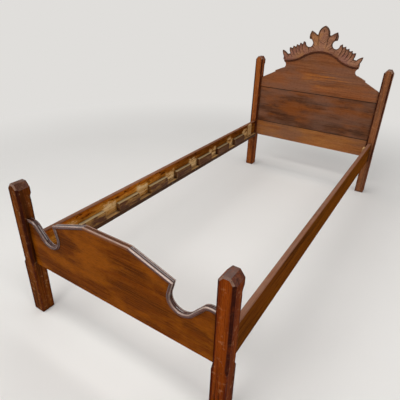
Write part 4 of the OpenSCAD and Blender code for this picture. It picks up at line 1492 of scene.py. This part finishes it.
@dataclass
class Rails:
    """The side rails with their ledgers, blocks and stops."""

    inner: float = 419 * MM
    slat_z: float = 270 * MM
    block_top: float = 312 * MM
    first: float = -784.5 * MM
    pitch: float = 234 * MM
    block: float = 145 * MM
    blocks: int = 7
    bare_top: float = 330 * MM
    thickness: float = 22 * MM
    lead_w: float = 4.5 * MM
    lead_h: float = 10.5 * MM
    rail_ease: float = 1.0 * MM
    ledger_ease: float = 0.8 * MM
    block_ease: float = 1.2 * MM
    fresh_span: Flat = (-0.5, 0.15)
    aged: str = "46200a"
    orange: Stain = ("8a420c", "c8701e")
    spotted: str = "451c06"
    golden: Stain = ("a8661c", "d89840")
    bare: Stain = ("c8924c", "eccc98")
    bare_block: Stain = ("7c5226", "b4884c")

    def block_mesh(self, side: int, number: int) -> bpy.types.Mesh:
        """Builds a slat block, with a bevel along its top that leads the slats in.

        Args:
            side: -1 for the left rail and 1 for the right rail.
            number: The block's number, counted from the foot.

        Returns:
            The mesh.
        """
        start = self.first + (number - 1) * self.pitch
        section = [(0.0, self.slat_z), (self.thickness, self.slat_z),
                   (self.thickness, self.block_top - self.lead_h),
                   (self.thickness - self.lead_w, self.block_top), (0.0, self.block_top)]
        return lofted([[(side * (self.inner - u), y, z) for u, z in section]
                       for y in (start, start + self.block)])

    def rubbed_face(self, timber: Layer) -> Wire:
        """Shows the rail's inner face, rubbed golden, and bare in the notches.

        Args:
            timber: The timber so far.

        Returns:
            The new colour.
        """
        across, along, up = timber.place.axes()
        ragged = timber.place.noise(5.0, 0.65, drawn=(1.0, 16.0, 45.0))["Fac"]
        mottle = timber.place.noise(6.0, 0.7, drawn=(1.0, 17.0, 80.0))["Fac"]
        lines = timber.figure["Streaks"]
        inner = (abs(across).calc("LESS_THAN", self.inner + 0.6 * MM)
                 * up.calc("GREATER_THAN", self.slat_z - 10 * MM))
        run = (along - self.first).calc("FLOORED_MODULO", self.pitch)
        middle = (self.block + self.pitch) / 2
        notch = abs(run - middle).span(middle - self.block + 26 * MM, 16 * MM)
        low = up + ragged.span(0.3, 0.7, -16 * MM, 16 * MM)
        fresh = along.span(*self.fresh_span, 1.0, 0.25)
        aged = inner * along.span(*self.fresh_span, 0.0, 0.7)
        colour = aged.between(timber.colour, self.aged)
        warm = inner * mottle.span(0.32, 0.52, 0.4, 0.9) * fresh
        colour = warm.between(colour, lines.between(*self.orange))
        rubbed = low.span(self.bare_top + 25 * MM, self.slat_z + 45 * MM)
        worn = rubbed * notch.span(0.0, 1.0, 0.6, 1.0) * mottle.span(0.30, 0.52, 0.5, 1.0)
        spotted = mottle.span(0.49, 0.39) * 0.9 * inner
        colour = spotted.between(colour, self.spotted)
        golden = worn.span(0.05, 0.7, 0.0, 0.9) * inner * fresh
        colour = golden.between(colour, lines.between(*self.golden))
        bare = worn.span(0.62, 1.0, 0.0, 0.95) * inner
        return bare.between(colour, lines.between(*self.bare))

    def bare_patches(self, timber: Layer) -> Wire:
        """Wears the stain off the blocks in patches, more of them near the foot.

        Args:
            timber: The timber so far.

        Returns:
            The new colour.
        """
        cloud = timber.place.noise(5.0, 0.65, drawn=(30.0, 14.0, 45.0))["Fac"]
        nearer = timber.place.axes()[1].span(-0.5, 0.1, 1.0, 0.25)
        wood = timber.figure["Streaks"].between(*self.bare_block)
        return (cloud.span(0.44, 0.6, 0.0, 0.85) * nearer).between(timber.colour, wood)

    def build(self, effects: Effects) -> None:
        """Dresses the rails, ledgers, blocks and stops.

        Args:
            effects: The shared groups.
        """
        rail = Timber(Grain.ALONG, "42200a", "804210", "9a622c", "3a1a0a", ring_gap=0.006,
                      wander=0.05, ring_share=0.4, light_share=0.35, patch="80460a",
                      patch_share=0.5, top="8e6450", top_sheen_share=0.75, roughness=0.55,
                      specular=0.0, coat=0.0, grime_and_shade=0.4, wear=0.6, wear_reach=0.002)
        ledger = Timber(Grain.ALONG, "2a140a", "4e2c16", "66401e", "a87c50",
                        heart=(0.4, 0.0, 0.2), ring_gap=0.004, roughness=0.6, coat=0.0,
                        specular=0.15, dust=0.1, top="c89a5c", top_sheen_share=0.8)
        block = Timber(Grain.ALONG, "3a1e12", "5e3622", "7c5236", "c8a878",
                       heart=(0.4, 0.0, 0.22), ring_gap=0.004, roughness=0.6, coat=0.0,
                       specular=0.15, wear=0.8, wear_reach=0.0025, dust=0.1,
                       top="b09a70", top_sheen_share=0.95)
        stop = Timber(Grain.UPRIGHT, "a87c48", "d0a66c", "e4c496", "e8d0a4",
                      heart=(0.4, 0.9, 0.2), ring_gap=0.003, roughness=0.6, coat=0.0,
                      specular=0.2, grime_and_shade=0.4)
        ledger_wood = ledger.material("slat ledger", effects)
        stop_wood = stop.material("slat stop", effects)
        block_wood = block.material("slat block", effects, self.bare_patches)
        for name, side in SIDES.items():
            cut = replace(rail, heart=(side * 0.50, 0.0, 0.30))
            dress_node(f"side_rail_{name}", cut.material(f"side rail {name}", effects,
                                                         self.rubbed_face), self.rail_ease)
            dress_node(f"ledger_{name}", ledger_wood, self.ledger_ease)
            dress_node(f"slat_stop_{name}", stop_wood, self.ledger_ease)
            for i in range(1, self.blocks + 1):
                node = f"slat_block_{name}_{i}"
                piece = keep(f"{node}_worn", self.block_mesh(side, i), block_wood,
                             [node])
                ease_edges(piece, self.block_ease)


# ---- Ironwork ----


@dataclass
class Ironwork:
    """The bed hooks, their pins and the wood screws."""

    head_r: float = 4 * MM
    head_h: float = 2.4 * MM
    rim_r: float = 3.75 * MM
    rim_h: float = 0.3 * MM
    shank_r: float = 2 * MM
    taper: float = 0.8
    point_r: float = 0.3 * MM
    steps: int = 24
    slot_w: float = 1.1 * MM
    slot_h: float = 1.2 * MM
    sharp: float = 35.0
    ledger_l: float = 36 * MM
    crest_l: float = 23 * MM
    ledger_in: float = 397 * MM
    ledger_mid: float = 260 * MM
    first: float = -829 * MM
    pitch: float = 234 * MM
    count: int = 8
    crest_back: float = 1008 * MM
    crest_at: tuple[Flat, ...] = ((100 * MM, 891.11 * MM), (190 * MM, 853.45 * MM))
    plate_ease: float = 0.3 * MM

    def screw(self, length: float) -> bpy.types.Mesh:
        """Builds a slotted countersunk screw with its head at the origin, pointing down.

        Args:
            length: The length of the screw.

        Returns:
            The mesh.
        """
        rings = [(self.rim_r, 0.0), (self.head_r, -self.rim_h), (self.shank_r, -self.head_h),
                 (self.shank_r, -self.taper * length), (self.point_r, -length)]
        ways = [(math.cos(2 * math.pi * i / self.steps), math.sin(2 * math.pi * i / self.steps))
                for i in range(self.steps)]
        body = new_object("screw_body", lofted([[(r * c, r * s, z) for c, s in ways]
                                                for r, z in rings]))
        w, d = self.slot_w / 2, self.head_r * 1.5
        cutter = new_object("screw_slot", lofted([[(-w, -d, z), (w, -d, z), (w, d, z), (-w, d, z)]
                                                  for z in (-self.slot_h, self.slot_h)]))
        cut = body.modifiers.new("slot", "BOOLEAN")
        cut.operation = "DIFFERENCE"
        cut.object = cutter
        cut.solver = "EXACT"
        graph = bpy.context.evaluated_depsgraph_get()
        mesh = bpy.data.meshes.new_from_object(body.evaluated_get(graph))
        bpy.data.objects.remove(body)
        bpy.data.objects.remove(cutter)
        shade(mesh, self.sharp)
        return mesh

    def driven(self, screw: bpy.types.Mesh, heads: Sequence[Point], turn: Matrix,
               chance: random.Random) -> bpy.types.Mesh:
        """Drives a copy of the screw in at each place, its slot turned by chance.

        Args:
            screw: The screw.
            heads: The places of the heads.
            turn: Turns the screw from pointing down to its way into the wood.
            chance: The source of the slots' turns.

        Returns:
            One mesh of all screws.
        """
        work = bmesh.new()
        for head in heads:
            slot = Matrix.Rotation(chance.uniform(0, math.pi), 4, "Z")
            copy = screw.copy()
            copy.transform(Matrix.Translation(head) @ turn @ slot)
            work.from_mesh(copy)
            bpy.data.meshes.remove(copy)
        mesh = bpy.data.meshes.new("screws")
        work.to_mesh(mesh)
        work.free()
        return mesh

    def build(self, effects: Effects) -> None:
        """Dresses the hooks and pins and cuts slots in the screws in view.

        Args:
            effects: The shared groups.
        """
        hook = Iron("2b2926", "5a2f18", 0.7, 0.42, 0.8).material("hook iron", effects)
        pin = Iron("3a3835", "5a2f18", 0.8, 0.38, 0.6).material("pin iron", effects)
        steel = Iron("6a6762", "4a2a18", 0.9, 0.3, 0.7).material("screw steel", effects)
        for end in ENDS:
            for side in SIDES:
                dress_node(f"hook_plate_{end}_{side}", hook, self.plate_ease)
                dress_node(f"hook_pins_{end}_{side}", pin)
        dress_node("plate_screws", steel)
        chance = random.Random(5)
        screw = self.screw(self.ledger_l)
        for name, side in SIDES.items():
            turn = Matrix.Rotation(-side * math.pi / 2, 4, "Y")
            heads = [(side * self.ledger_in, self.first + k * self.pitch, self.ledger_mid)
                     for k in range(self.count)]
            keep(f"ledger_screws_{name}_slotted", self.driven(screw, heads, turn, chance),
                 steel, [f"ledger_screws_{name}"])
        heads = [(side * x, self.crest_back, z) for side in SIDES.values()
                 for x, z in self.crest_at]
        mesh = self.driven(self.screw(self.crest_l), heads,
                           Matrix.Rotation(-math.pi / 2, 4, "X"), chance)
        keep("crest_screws_slotted", mesh, steel, ["crest_screws"])


# ---- Studio ----


@dataclass
class Studio:
    """The plain floor, the soft lights and the camera at the photographed angle."""

    eye: Point = (0.7509, -1.6624, 1.1855)
    yaw: float = 32.07
    pitch: float = 28.33
    roll: float = 1.84
    focal_px: float = 373.1
    frame_px: float = 400.0
    sensor: float = 36.0
    clip: Flat = (0.05, 200.0)
    floor_half: float = 60.0
    floor_tones: Stain = ("eae8e4", "f0eeeb")
    fade: Flat = (1.4, 3.2)
    sky: tuple[float, ...] = (0.95, 0.97, 1.0, 1.0)
    ambient: float = 0.32
    backdrop: str = "e0dedb"
    fill_way: Point = (0.5, 0.75, -1.0)
    fill: float = 0.5
    fill_spread: float = 50.0
    fill_tint: Point = (1.0, 0.985, 0.96)
    lamp_tint: Point = (1.0, 0.985, 0.97)
    strip_at: tuple[Point, ...] = ((0.1, -1.3, 2.7), (0.1, 0.9, 2.9))
    strip_size: Flat = (5.0, 0.6)
    strip_power: Flat = (34.0, 28.0)
    front_at: Point = (-0.1, -3.4, 2.8)
    front_aim: Point = (0.1, -1.0, 0.4)
    front_size: Flat = (1.3, 0.8)
    front_power: float = 26.0

    def camera(self) -> None:
        """Makes the camera and sets it as the scene's camera."""
        data = bpy.data.cameras.new("camera")
        data.sensor_width = self.sensor
        data.sensor_fit = "HORIZONTAL"
        data.lens = self.focal_px / self.frame_px * self.sensor
        data.clip_start, data.clip_end = self.clip
        camera = new_object("camera", data)
        yaw, pitch, roll = (math.radians(a) for a in (self.yaw, self.pitch, self.roll))
        ahead = Vector((-math.sin(yaw) * math.cos(pitch), math.cos(yaw) * math.cos(pitch),
                        -math.sin(pitch)))
        level = Vector((math.cos(yaw), math.sin(yaw), 0.0))
        above = level.cross(ahead)
        right = math.cos(roll) * level + math.sin(roll) * above
        up = -math.sin(roll) * level + math.cos(roll) * above
        turn = Matrix((right, up, -ahead)).transposed().to_4x4()
        camera.matrix_world = Matrix.Translation(self.eye) @ turn
        bpy.context.scene.camera = camera

    def floor(self) -> None:
        """Lays the pale floor."""
        h = self.floor_half
        mesh = mesh_of([(-h, -h, 0), (h, -h, 0), (h, h, 0), (-h, h, 0)], [(0, 1, 2, 3)])
        obj = new_object("floor", mesh)
        material = bpy.data.materials.new("pale floor")
        sheet = Sheet.cleared(material)
        place = sheet.add("TexCoord")["Object"]
        colour = place.noise(3.0, 0.5, 1.4)["Fac"].between(*self.floor_tones)
        shader = sheet.add("BsdfDiffuse", {"Color": colour})
        plain = sheet.add("Emission", {"Color": self.backdrop})
        fade = place.vector("LENGTH", out="Value").span(*self.fade)
        mixed = sheet.add("MixShader", {0: fade, 1: shader[0], 2: plain[0]})
        sheet.add("OutputMaterial", {"Surface": mixed[0]})
        dress(obj, material)
        obj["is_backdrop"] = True

    @staticmethod
    def lamp(name: str, kind: str, way: Sequence[float], power: float, tint: Point,
             **settings: object) -> bpy.types.Object:
        """Hangs a soft lamp.

        Args:
            name: The lamp's name.
            kind: AREA or SUN.
            way: The direction in which its light goes.
            power: Its power in watts, or the strength of a sun.
            tint: The colour of its light.
            **settings: Further properties of the lamp.

        Returns:
            The lamp, at the origin.
        """
        data = bpy.data.lights.new(name, kind)
        data.energy = power
        data.color = tint
        for key, value in settings.items():
            setattr(data, key, value)
        obj = new_object(name, data)
        obj.rotation_euler = Vector(way).to_track_quat("-Z", "Y").to_euler()
        return obj

    def world(self) -> None:
        """Sets a soft sky that shows as the plain backdrop where it is seen."""
        world = bpy.data.worlds.new("studio")
        bpy.context.scene.world = world
        sheet = Sheet.cleared(world)
        path = sheet.add("LightPath")
        seen = path["Is Camera Ray"].calc(
            "MAXIMUM", path["Is Glossy Ray"].calc("MAXIMUM", path["Is Transmission Ray"]))
        soft = sheet.add("Background", {"Color": self.sky, "Strength": self.ambient})
        plain = sheet.add("Background", {"Color": self.backdrop, "Strength": 1.0})
        mixed = sheet.add("MixShader", {0: seen, 1: soft[0], 2: plain[0]})
        sheet.add("OutputWorld", {"Surface": mixed[0]})
        bpy.context.scene.view_settings.view_transform = "Standard"

    def lamps(self) -> None:
        """Hangs the broad far lamp, the ceiling strips and the front softbox."""
        self.lamp("fill", "SUN", self.fill_way, self.fill, self.fill_tint,
                  angle=math.radians(self.fill_spread))
        areas = [("ceiling strip", at, (at[0], at[1] + MM, 0.0), self.strip_size, power)
                 for at, power in zip(self.strip_at, self.strip_power)]
        areas.append(("front softbox", self.front_at, self.front_aim, self.front_size,
                      self.front_power))
        for name, at, aim, (size, size_y), power in areas:
            lamp = self.lamp(name, "AREA", Vector(aim) - Vector(at), power, self.lamp_tint,
                             shape="RECTANGLE", size=size, size_y=size_y)
            lamp.location = at

    def build(self) -> None:
        """Sets up the camera, the floor, the world and the lamps."""
        self.camera()
        self.floor()
        self.world()
        self.lamps()


def corners() -> list[list[float]]:
    """Returns the object's box as plain lists."""
    lo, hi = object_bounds()
    return [list(lo), list(hi)]


def main() -> None:
    """Builds the studio and each sub-assembly in order."""
    logging.basicConfig(level=logging.INFO, format="%(message)s")
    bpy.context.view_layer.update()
    Studio().build()
    effects = Effects.make()
    for assembly in (Posts(), Footboard(), Headboard(), Crest(), Rails(), Ironwork()):
        assembly.build(effects)
        LOG.info("%s built", type(assembly).__name__)


if __name__ == "__main__":
    main()
